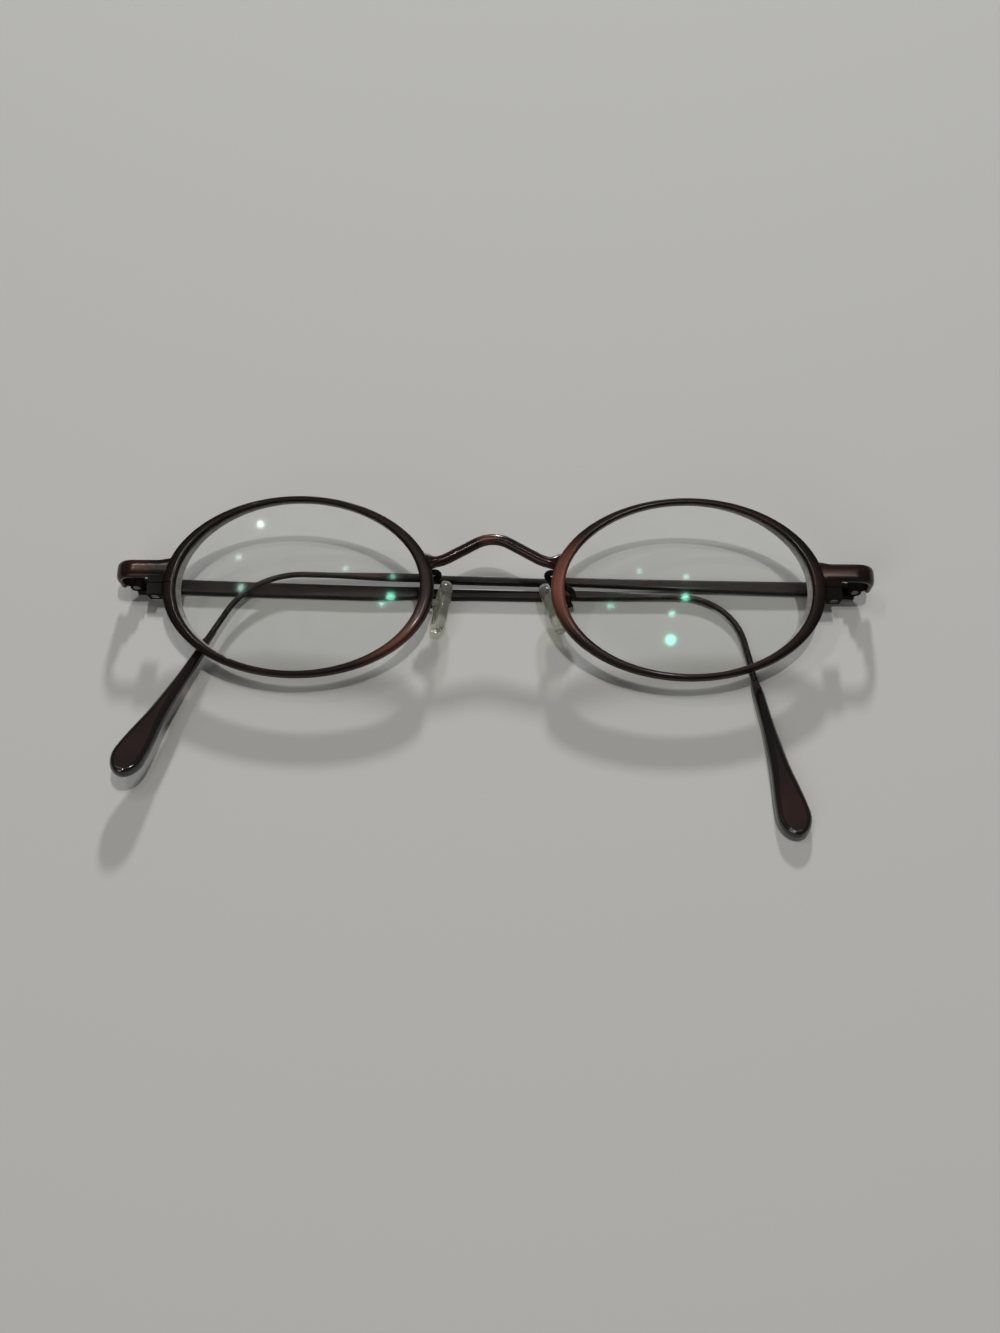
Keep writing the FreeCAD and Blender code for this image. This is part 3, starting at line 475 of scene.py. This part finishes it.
def squared(amount, power):
    # Turns a circle's coordinate into that of a rounder or squarer oval
    return math.copysign(abs(amount) ** (2.0 / power), amount)


def pressed(height, limit):
    # A height that levels off softly at a limit
    firmness = 7
    return height / (1 + abs(height / limit) ** firmness) ** (1 / firmness)


def sweep(stations, segments):
    # Each station: centre, direction across, direction up, half width, half height, squareness
    tube = ringTube(len(stations), segments)
    for vert in tube.verts:
        centre, across, up, halfWidth, halfHeight, power = stations[round(vert.co.z)]
        sideways = squared(vert.co.x, power) * halfWidth
        upwards = squared(vert.co.y, power) * halfHeight
        vert.co = centre + across * sideways + up * upwards
    return tube


def bentPath(corners, bends, step):
    # Points and directions along straight runs joined by arcs
    trail = [corners[0]]
    for index, radius in enumerate(bends):
        before, corner, after = corners[index:index + 3]
        toward = (before - corner).normalized()
        away = (after - corner).normalized()
        half = toward.angle(away) / 2
        middle = corner + (toward + away).normalized() * (radius / math.sin(half))
        first = corner + toward * (radius / math.tan(half))
        last = corner + away * (radius / math.tan(half))
        sweepAngle = (first - middle).angle(last - middle)
        axis = (first - middle).cross(last - middle).normalized()
        count = max(4, round(radius * sweepAngle / step))
        trail.append(("run", first))
        for part in range(1, count + 1):
            turn = Matrix.Rotation(sweepAngle * part / count, 3, axis)
            trail.append(middle + turn @ (first - middle))
    trail.append(("run", corners[-1]))
    points = [trail[0]]
    for item in trail[1:]:
        if isinstance(item, tuple):
            start, end = points[-1], item[1]
            count = max(1, round((end - start).length / step))
            points += [start.lerp(end, part / count) for part in range(1, count + 1)]
        else:
            points.append(item)
    directions = []
    for index in range(len(points)):
        low, high = max(0, index - 1), min(len(points) - 1, index + 1)
        directions.append((points[high] - points[low]).normalized())
    return points, directions


def clamped(share):
    return min(1.0, max(0.0, share))


def mixed(first, second, share):
    return first + (second - first) * share


def smoothstep(low, high, amount):
    share = clamped((amount - low) / (high - low))
    return share * share * (3 - 2 * share)


def between(table, amount):
    # Straight between the rows of a table
    for (low, first), (high, second) in zip(table, table[1:]):
        if amount <= high:
            return mixed(first, second, (amount - low) / (high - low))
    return table[-1][1]


joinWithin = 0.002 * mm


def finishPiece(bm, name, finish, body, replaced, sharp, place=None, second=None):
    # Cleans a mesh and makes it an object of its body, in place of its solid
    if place:
        bmesh.ops.transform(bm, matrix=place, verts=bm.verts[:])
    bmesh.ops.remove_doubles(bm, verts=bm.verts[:], dist=joinWithin)
    bmesh.ops.recalc_face_normals(bm, faces=bm.faces[:])
    for face in bm.faces:
        face.smooth = True
    for edge in bm.edges:
        edge.smooth = edge.calc_face_angle(0) < math.radians(sharp)
    mesh = bpy.data.meshes.new(name)
    bm.to_mesh(mesh)
    bm.free()
    mesh.materials.append(finishes[finish])
    if second:
        mesh.materials.append(finishes[second])
    piece = bpy.data.objects.new(name, mesh)
    bpy.context.scene.collection.objects.link(piece)
    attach(piece, body)
    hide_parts(replaced)


# Rims: a rounded profile spun round, then pulled to the oval and bowed like the lens
rim = {
    "outerWidth": 22.15 * mm,
    "outerHeight": 15.35 * mm,
    "side": 2.2 * mm,
    "top": 0.95 * mm,
    "depth": 1.9 * mm,
    "steps": 168,
    "segments": 28,
    "sharp": 60,
    "profilePower": 4.2,
    "cutDegrees": 0.3,
    "cutHeight": 0.35 * mm,
}


def makeRim(word):
    bm = bmesh.new()
    bmesh.ops.create_circle(bm, cap_ends=False, radius=0.5, segments=rim["segments"])
    for vert in bm.verts:
        vert.co.x = squared(vert.co.x * 2, rim["profilePower"]) / 2
        vert.co.y = squared(vert.co.y * 2, rim["profilePower"]) / 2
    bmesh.ops.rotate(bm, verts=bm.verts[:], matrix=Matrix.Rotation(math.radians(90), 3, "X"))
    bmesh.ops.translate(bm, verts=bm.verts[:], vec=(1, 0, 0))
    cutTurn = math.degrees(math.asin(rim["cutHeight"] / rim["outerHeight"])) + rim["cutDegrees"] / 2
    bmesh.ops.rotate(bm, verts=bm.verts[:], matrix=Matrix.Rotation(math.radians(cutTurn), 3, "Z"))
    bmesh.ops.spin(
        bm,
        geom=bm.verts[:] + bm.edges[:],
        cent=(0, 0, 0),
        axis=(0, 0, 1),
        angle=math.radians(360 - rim["cutDegrees"]),
        steps=rim["steps"],
        use_merge=False,
    )
    bmesh.ops.holes_fill(bm, edges=bm.edges[:], sides=0)
    for vert in bm.verts:
        reach = math.hypot(vert.co.x, vert.co.y)
        share = reach - 0.5
        width = rim["outerWidth"] - rim["side"] * (1 - share)
        height = rim["outerHeight"] - rim["top"] * (1 - share)
        x, y = vert.co.x / reach * width, vert.co.y / reach * height
        bow = (x * x + y * y) / (2 * front["curve"])
        vert.co = (x, y, (vert.co.z - 0.5) * rim["depth"] - bow)
    name, replaced = word + "RimRing", word + "_rim"
    place, sharp = eyeFrames[word], rim["sharp"]
    finishPiece(bm, name, "rim", "front", replaced, sharp, place)


# Lenses: a lens section spun round the optical axis, with a ground bevel behind its thick edge
lens = {
    "inset": 0.5 * mm,
    "thickness": 1.6 * mm,
    "backCurve": 105.0 * mm,
    "seat": 0.22 * mm,
    "steps": 144,
    "shares": [0.0, 0.2, 0.4, 0.6, 0.78, 0.92],
    "edge": 1.1 * mm,
    "bevel": 0.15 * mm,
    "temporalBevel": 0.8 * mm,
    "edgeShare": 0.99,
    "joinShare": 0.00001,
    "groundLevel": 0.93,
    "sharp": 35,
}


def makeLens(word):
    bm = bmesh.new()
    chain = [bm.verts.new((share, 0, 1)) for share in lens["shares"] + [1.0]]
    chain += [bm.verts.new((1.0, 0, 0)), bm.verts.new((1.0, 0, -1))]
    chain += [bm.verts.new((share, 0, -1)) for share in reversed(lens["shares"])]
    for first, second in zip(chain, chain[1:]):
        bm.edges.new((first, second))
    bmesh.ops.spin(
        bm,
        geom=bm.verts[:] + bm.edges[:],
        cent=(0, 0, 0),
        axis=(0, 0, 1),
        angle=math.radians(360),
        steps=lens["steps"],
        use_merge=True,
    )
    bmesh.ops.remove_doubles(bm, verts=bm.verts[:], dist=lens["joinShare"])
    width = rim["outerWidth"] - rim["side"] + lens["seat"]
    height = rim["outerHeight"] - rim["top"] + lens["seat"]
    for vert in bm.verts:
        layer = round(vert.co.z)
        x, y = vert.co.x * width, vert.co.y * height
        if layer == -1 and math.hypot(vert.co.x, vert.co.y) > lens["edgeShare"]:
            ground = lens["bevel"] + lens["temporalBevel"] * max(0.0, vert.co.x) ** 2
            x, y = x - vert.co.x * ground, y - vert.co.y * ground
        ahead = -lens["inset"] - (x * x + y * y) / (2 * front["curve"])
        behind = -lens["inset"] - lens["thickness"] - (x * x + y * y) / (2 * lens["backCurve"])
        vert.co = (x, y, {1: ahead, 0: ahead - lens["edge"], -1: behind}[layer])
    bm.normal_update()
    for face in bm.faces:
        face.material_index = int(abs(face.normal.z) < lens["groundLevel"])
    name, replaced = word + "LensGlass", word + "_lens"
    place, sharp = eyeFrames[word], lens["sharp"]
    finishPiece(bm, name, "lens", "front", replaced, sharp, place, "ground")


# Bridge: a round wire over the nose, flared where it is soldered to the rims
bridge = {
    "radius": 0.91 * mm,
    "foot": 4.3 * mm,
    "run": 1.75 * mm,
    "slope": 29.0,
    "footBend": 6.0 * mm,
    "topBend": 5.6 * mm,
    "flare": 0.8,
    "sink": 0.5,
    "flareLength": 2.4 * mm,
    "seat": 1.0 * mm,
    "step": 0.35 * mm,
    "segments": 28,
    "power": 2.0,
    "sharp": 40,
}


def makeBridge():
    footShare = math.sqrt(1 - (bridge["foot"] / rim["outerHeight"]) ** 2)
    edge = front["eyeOffset"] - rim["outerWidth"] * footShare
    shoulder = edge - bridge["run"]
    end = edge + bridge["seat"]
    peak = bridge["foot"] + shoulder * math.tan(math.radians(bridge["slope"]))
    corners = [
        Vector((-end, bridge["foot"], 0)),
        Vector((-shoulder, bridge["foot"], 0)),
        Vector((0, peak, 0)),
        Vector((shoulder, bridge["foot"], 0)),
        Vector((end, bridge["foot"], 0)),
    ]
    bends = [bridge["footBend"], bridge["topBend"], bridge["footBend"]]
    points, directions = bentPath(corners, bends, bridge["step"])
    up = Vector((0, 0, 1))
    radius = bridge["radius"]
    stations = []
    for point, direction in zip(points, directions):
        near = 1 - smoothstep(0, bridge["flareLength"], end - abs(point.x))
        wide, high = radius * (1 + bridge["flare"] * near), radius * (1 - bridge["sink"] * near)
        stations.append((point, up.cross(direction), up, wide, high, bridge["power"]))
    tube = sweep(stations, bridge["segments"])
    name, sharp = "bridgeWire", bridge["sharp"]
    finishPiece(tube, name, "front", "front", "bridge", sharp, frontFrame)


# Endpieces: a rounded strip from the rim, curled back to the hinge
strip = {
    "rise": 3.2 * mm,
    "set": 0.9 * mm,
    "width": 3.0 * mm,
    "thickness": 1.25 * mm,
    "bend": 2.6 * mm,
    "reach": 5.6 * mm,
    "inset": 2.6 * mm,
    "buttGap": 0.4 * mm,
    "power": 2.7,
    "flare": 0.22,
    "flareLength": 2.4 * mm,
    "startShare": 0.98,
    "startInset": 0.9 * mm,
    "step": 0.3 * mm,
    "segments": 40,
    "sharp": 50,
}


def makeEndpiece(word):
    side = sides[word]
    start = front["eyeOffset"] + rim["outerWidth"] * strip["startShare"] - strip["startInset"]
    pivot = front["eyeOffset"] + rim["outerWidth"] + strip["reach"]
    end = pivot + strip["inset"] - strip["thickness"] / 2
    low = -front["base"].z / math.cos(math.radians(front["tilt"])) - strip["set"]
    height = strip["rise"]
    corners = [
        Vector((side * start, height, -strip["set"])),
        Vector((side * end, height, -strip["set"])),
        Vector((side * end, height, low)),
    ]
    points, directions = bentPath(corners, [strip["bend"]], strip["step"])
    up = Vector((0, 1, 0))
    stations = []
    for point, direction in zip(points, directions):
        near = 1 - smoothstep(0, strip["flareLength"], abs(point.x) - start)
        wide, high = strip["width"] / 2 * (1 + strip["flare"] * near), strip["thickness"] / 2
        stations.append((point, up, direction.cross(up), wide, high, strip["power"]))
    bm = sweep(stations, strip["segments"])
    bmesh.ops.transform(bm, matrix=frontFrame, verts=bm.verts[:])
    level = strip["inset"] + strip["buttGap"]
    bmesh.ops.bisect_plane(
        bm,
        geom=bm.verts[:] + bm.edges[:] + bm.faces[:],
        plane_co=(0, 0, level),
        plane_no=(0, 0, -1),
        clear_outer=True,
    )
    bmesh.ops.holes_fill(bm, edges=bm.edges[:], sides=0)
    name, replaced = word + "EndpieceStrip", word + "_endpiece"
    finishPiece(bm, name, "front", "front", replaced, strip["sharp"])


# Temples: a flat bar that tapers to a round wire and bends round the ear
temple = {
    "thickness": 1.2 * mm,
    "inset": 2.6 * mm,
    "butt": 0.2 * mm,
    "buttHeight": 2.6 * mm,
    "barHeight": 1.25 * mm,
    "taper": 52.0 * mm,
    "flat": 76.0 * mm,
    "wire": 0.49 * mm,
    "sleeve": 0.78 * mm,
    "inSleeve": 2.0 * mm,
    "straight": 0.9999,
    "power": 5.0,
    "roundPower": 2.0,
    "step": 1.2 * mm,
    "segments": 32,
    "sharp": 40,
    "right": {
        "lift": 0.82,
        "corner": 99.7,
        "bend": 13.0,
        "angle": 67.5,
        "rise": 3.8,
        "wireLength": 12.9,
        "drop": [(0.0, 0.0), (100.0, 0.0)],
    },
    "left": {
        "lift": 0.0,
        "corner": 98.8,
        "bend": 10.5,
        "angle": 78.0,
        "rise": 0.0,
        "wireLength": 14.0,
        "drop": [(0.0, 0.0), (26.0, 0.6), (40.0, 0.92), (56.0, 0.35), (74.0, 0.25), (88.0, 0.0)],
    },
}


def hookLine(word):
    # Corner, bank and direction of a hook in its hinge's frame
    hook = temple[word]
    side = sides[word]
    bank = Matrix.Rotation(math.radians(-hook["rise"]), 3, "X")
    turn = math.radians(hook["angle"])
    middle = temple["sleeve"] - temple["inset"]
    corner = Vector((-side * hook["corner"] * mm, 0, middle))
    along = bank @ Vector((-side * math.cos(turn), -math.sin(turn), 0))
    return corner, along, bank @ Vector((0, 0, 1))


def makeTemple(word):
    hook = temple[word]
    side = sides[word]
    corner, along, lifted = hookLine(word)
    middle = temple["thickness"] / 2 - temple["inset"]
    wireStart = (hook["corner"] - hook["bend"]) * mm - 2 * temple["wire"]
    reach = hook["wireLength"] * mm + temple["inSleeve"]
    corners = [Vector((side * temple["butt"], 0, corner.z)), corner, corner + along * reach]
    points, directions = bentPath(corners, [hook["bend"] * mm], temple["step"])
    stations = []
    for point, direction in zip(points, directions):
        gone = -side * point.x
        onBar = direction.dot(Vector((-side, 0, 0))) > temple["straight"]
        upward = Vector((0, 0, 1)) if onBar else lifted
        thinning = clamped(gone / temple["taper"])
        halfHeight = mixed(temple["buttHeight"], temple["barHeight"], thinning) / 2
        rounding = clamped((gone - temple["flat"]) / (wireStart - temple["flat"])) if onBar else 1.0
        halfHeight = mixed(halfHeight, temple["wire"], rounding)
        halfDepth = mixed(temple["thickness"] / 2, temple["wire"], rounding)
        power = mixed(temple["power"], temple["roundPower"], rounding)
        centre = point.copy()
        if onBar:
            drop = between(hook["drop"], gone / mm) * mm / 2
            halfHeight += drop
            centre.y -= drop
            centre.z = mixed(middle, corner.z, rounding)
        across = upward.cross(direction).normalized()
        stations.append((centre, across, upward, halfHeight, halfDepth, power))
    tube = sweep(stations, temple["segments"])
    name, body, replaced = word + "TempleBar", word + "_temple", word + "_temple"
    place, sharp = hingeFrame(word, hook["lift"]), temple["sharp"]
    finishPiece(tube, name, "temple", body, replaced, sharp, place)


# Tips: a sleeve that swells to a flat teardrop, whose pressed face starts in a V
tip = {
    "length": 30.0 * mm,
    "halfWidth": 2.75 * mm,
    "thickness": 2.3 * mm,
    "wide": [(0.0, 0.0), (0.35, 0.12), (0.6, 0.4), (0.74, 0.76), (0.87, 1.0)],
    "count": 64,
    "faceStart": 1.2 * mm,
    "faceSpread": 1.4,
    "faceShare": 0.4,
    "faceSlack": 0.02,
    "least": 0.06,
    "slim": 0.62,
    "slimEnd": 0.16,
    "average": [-0.06, -0.03, 0.0, 0.03, 0.06],
    "lead": 0.02 * mm,
    "leadShare": 0.9,
    "endShare": 0.03,
    "segments": 72,
    "sharp": 75,
}


def swelling(share):
    # How wide the tip is, averaged over a short stretch so that it has no corners
    nearby = [between(tip["wide"], max(0.0, share + part)) for part in tip["average"]]
    return sum(nearby) / len(nearby)


def makeTip(word):
    corner, along, upward = hookLine(word)
    start = corner + along * temple[word]["wireLength"] * mm
    across = upward.cross(along).normalized()
    nose = tip["wide"][-1][0]
    limit = tip["thickness"] / 2
    stations = []
    for index in range(tip["count"] + 1):
        share = index / tip["count"]
        closing = 1.0
        if share > nose:
            bend = (share - nose) / (1 - nose) * math.pi / 2
            share = nose + (1 - nose) * math.sin(bend)
            closing = math.sqrt(max(0.0, 1 - ((share - nose) / (1 - nose)) ** 2))
        girth = mixed(temple["sleeve"], tip["halfWidth"], swelling(share))
        girth *= mixed(tip["slim"], 1.0, smoothstep(0, tip["slimEnd"], share))
        rise = pressed(girth, limit) - temple["sleeve"]
        centre = start + along * (tip["length"] * share) + upward * rise
        stations.append((centre, girth * max(tip["endShare"], closing)))
    centre, radius = stations[0]
    stations.insert(0, (centre - along * tip["lead"], radius * tip["leadShare"]))
    tube = ringTube(len(stations), tip["segments"])
    # The flat face takes the lighter finish and the rest the darker one: painted light and painted
    # shade
    for face in tube.faces:
        share = max(abs(vert.co.x) for vert in face.verts)
        radius = min(stations[round(vert.co.z)][1] for vert in face.verts)
        isFlat = share <= tip["faceShare"] + tip["faceSlack"] and radius >= tip["faceStart"]
        face.material_index = 0 if isFlat and len(face.verts) == 4 else 1
    for vert in tube.verts:
        centre, radius = stations[round(vert.co.z)]
        flat = max(tip["least"] * radius, (radius - tip["faceStart"]) * tip["faceSpread"])
        turn = abs(vert.co.x)
        if turn < tip["faceShare"]:
            sideways, upwards = flat * turn / tip["faceShare"], 1.0
        else:
            turn = (turn - tip["faceShare"]) / (1 - tip["faceShare"])
            sideways, upwards = flat + (radius - flat) * turn, math.sqrt(max(0.0, 1 - turn * turn))
        sideways = math.copysign(sideways, vert.co.x)
        upwards = math.copysign(upwards * pressed(radius, limit), vert.co.y)
        vert.co = centre + across * sideways + upward * upwards
    name, body, replaced = word + "TipSleeve", word + "_temple", word + "_tip"
    place, sharp = hingeFrame(word, temple[word]["lift"]), tip["sharp"]
    finishPiece(tube, name, "tip", body, replaced, sharp, place, "tipShadedEdge")


# Nose pads: soft teardrops with a domed face, and the bent wires that carry them
pad = {
    "halfLength": 4.5 * mm,
    "halfWidth": 2.5 * mm,
    "thickness": 2.0 * mm,
    "stand": 0.85 * mm,
    "narrow": 0.16,
    "layers": [
        (0.0, 0.7),
        (0.04, 0.86),
        (0.14, 0.96),
        (0.3, 1.0),
        (0.55, 1.0),
        (0.75, 0.96),
        (0.88, 0.86),
        (0.96, 0.7),
        (1.0, 0.45),
    ],
    "power": 2.15,
    "segments": 64,
    "sharp": 60,
    "drop": 1.3 * mm,
    "back": 4.6 * mm,
    "right": {"outward": 1.9, "lean": 21.0, "splay": 8.0},
    "left": {"outward": 0.65, "lean": 11.0, "splay": 20.0},
}


def padFrame(word):
    side = sides[word]
    slope = math.radians(pad[word]["lean"])
    back = math.radians(pad[word]["splay"])
    up = Vector((-side * math.sin(slope), math.cos(slope), 0))
    inward = Vector((-side * math.cos(slope), -math.sin(slope), 0))
    normal = inward * math.cos(back) - Vector((0, 0, 1)) * math.sin(back)
    across = normal.cross(up)
    out = front["eyeOffset"] - rim["outerWidth"] + pad[word]["outward"] * mm
    turn = Matrix((up, across, normal)).transposed().to_4x4()
    return frontFrame @ Matrix.Translation((side * out, -pad["drop"], -pad["back"])) @ turn


def makePad(word):
    along, across = Vector((1, 0, 0)), Vector((0, 1, 0))
    stations = []
    for rise, share in pad["layers"]:
        centre = Vector((0, 0, pad["stand"] + pad["thickness"] * rise))
        inset = (1 - share) * pad["halfWidth"]
        halfLength, halfWidth = pad["halfLength"] - inset, pad["halfWidth"] - inset
        stations.append((centre, along, across, halfLength, halfWidth, pad["power"]))
    bm = sweep(stations, pad["segments"])
    for vert in bm.verts:
        vert.co.y *= 1 - pad["narrow"] * max(0.0, vert.co.x / pad["halfLength"])
    name, body, replaced = word + "PadSilicone", word + "_pad", word + "_pad"
    finishPiece(bm, name, "silicone", body, replaced, pad["sharp"], padFrame(word))


padArm = {
    "radius": 0.5 * mm,
    "bend": 0.9 * mm,
    "rise": 2.7 * mm,
    "reach": 2.6 * mm,
    "swing": 2.8 * mm,
    "bossHeight": 1.3 * mm,
    "boxDepth": 1.5 * mm,
    "boxWall": 0.35 * mm,
    "loopDepth": 0.5,
    "loopDrop": 0.4,
    "step": 0.25 * mm,
    "segments": 20,
    "power": 2.0,
    "sharp": 40,
}


def makePadArm(word):
    side = sides[word]
    radius = padArm["radius"]
    rise, reach = padArm["rise"], padArm["reach"]
    edge = front["eyeOffset"] - rim["outerWidth"] * math.sqrt(1 - (rise / rim["outerHeight"]) ** 2)
    spots = [
        Vector((side * (edge + rim["side"] / 2), rise, -radius)),
        Vector((side * (edge - padArm["swing"]), rise + radius, -reach * padArm["loopDepth"])),
        Vector((side * (edge + 2 * radius), rise - reach * padArm["loopDrop"], -reach - radius)),
    ]
    place = padFrame(word)
    boxFoot = pad["stand"] - padArm["boxDepth"]
    above = Vector((padArm["bossHeight"], 0, boxFoot - 3 * radius))
    rear = Vector((0, 0, boxFoot - 2 * padArm["boxWall"] - radius))
    corners = [frontFrame @ spot for spot in spots] + [place @ above, place @ rear]
    points, directions = bentPath(corners, [padArm["bend"]] * 3, padArm["step"])
    stations = []
    across = Vector((1, 0, 0))
    for point, direction in zip(points, directions):
        across = (across - direction * across.dot(direction)).normalized()
        up = direction.cross(across)
        stations.append((point, across, up, radius, radius, padArm["power"]))
    tube = sweep(stations, padArm["segments"])
    name, replaced = word + "PadArmWire", word + "_pad_arm"
    finishPiece(tube, name, "hinge", "front", replaced, padArm["sharp"])


for word in sides:
    makeRim(word)
    makeLens(word)
    makeEndpiece(word)
    makeTemple(word)
    makeTip(word)
    makePad(word)
    makePadArm(word)
makeBridge()
print("pieces made")

# Solids that stay as they are, each with its finish
for name, node in frame["nodes"].items():
    if name.endswith("screw"):
        finish = "screw"
    elif name.endswith("insert"):
        finish = "insert"
    else:
        finish = "hinge"
    node.data.materials.clear()
    node.data.materials.append(finishes[finish])
print("solids finished")


# Floor, light and camera
studio = {
    "floor": (0.415, 0.412, 0.396, 1),
    "floorSize": 3.0,
    "floorDrop": -0.00005,
    "world": (0.1, 0.101, 0.102, 1),
    "worldStrength": 1.0,
}
table = bmesh.new()
bmesh.ops.create_grid(table, x_segments=1, y_segments=1, size=studio["floorSize"] / 2)
tableMesh = bpy.data.meshes.new("floor")
table.to_mesh(tableMesh)
table.free()
floor = bpy.data.objects.new("floor", tableMesh)
floor.location.z = studio["floorDrop"]
bpy.context.scene.collection.objects.link(floor)
floorShine = {"Base Color": studio["floor"], "Roughness": 1.0, "Specular IOR Level": 0.0}
tableMesh.materials.append(Finish("floorPaint", floorShine).material)

world = bpy.data.worlds.new("studioWorld")
bpy.context.scene.world = world
world.use_nodes = True
background = world.node_tree.nodes["Background"].inputs
background["Color"].default_value = studio["world"]
background["Strength"].default_value = studio["worldStrength"]

lampColor = (1.0, 0.985, 0.96)
lamps = {
    "overhead": {"spot": (0.098, -0.05, 0.8), "size": 0.02, "power": 2.0, "color": lampColor},
    "second": {"spot": (0.1, 0.005, 0.8), "size": 0.011, "power": 0.45, "color": lampColor},
    "left": {"spot": (-0.273, 0.201, 0.8), "size": 0.012, "power": 0.42, "color": lampColor},
    "leftLow": {"spot": (-0.308, 0.064, 0.8), "size": 0.011, "power": 0.35, "color": lampColor},
    "middle": {"spot": (-0.019, 0.02, 0.8), "size": 0.011, "power": 0.35, "color": lampColor},
    "window": {"spot": (0.05, 1.0, 0.48), "size": 0.09, "power": 9.6, "color": (0.97, 0.985, 1.0)},
    "soft": {"spot": (-0.5, -0.9, 0.7), "size": 0.7, "power": 2.7, "color": (1.0, 0.99, 0.97)},
}
for name, lamp in lamps.items():
    light = bpy.data.lights.new(name, "AREA")
    light.shape = "DISK"
    light.size = lamp["size"]
    light.energy = lamp["power"]
    light.color = lamp["color"]
    holder = bpy.data.objects.new(name, light)
    spot = Vector(lamp["spot"])
    holder.location = spot
    holder.rotation_euler = (-spot).to_track_quat("-Z", "Y").to_euler()
    holder.visible_transmission = False
    bpy.context.scene.collection.objects.link(holder)

view = {
    "spot": Vector((9.461, -151.673, 239.88)) * mm,
    "right": Vector((0.99953, 0.02193, -0.02148)),
    "up": Vector((-0.00827, 0.86625, 0.49954)),
    "ahead": Vector((-0.02956, 0.49913, -0.86603)),
    "focal": 1700.0,
    "frameHeight": 1333.0,
    "sensor": 36.0,
    "near": 0.01,
    "far": 20.0,
}
camera = bpy.data.cameras.new("camera")
camera.sensor_fit = "AUTO"
camera.sensor_width = view["sensor"]
camera.lens = view["sensor"] * view["focal"] / view["frameHeight"]
camera.clip_start = view["near"]
camera.clip_end = view["far"]
cameraHolder = bpy.data.objects.new("camera", camera)
axes = Matrix((view["right"], view["up"], -view["ahead"])).transposed().to_4x4()
cameraHolder.matrix_world = Matrix.Translation(view["spot"]) @ axes
bpy.context.scene.collection.objects.link(cameraHolder)
bpy.context.scene.camera = cameraHolder
bpy.context.scene.view_settings.view_transform = "Standard"
print("studio ready")

bpy.context.view_layer.update()
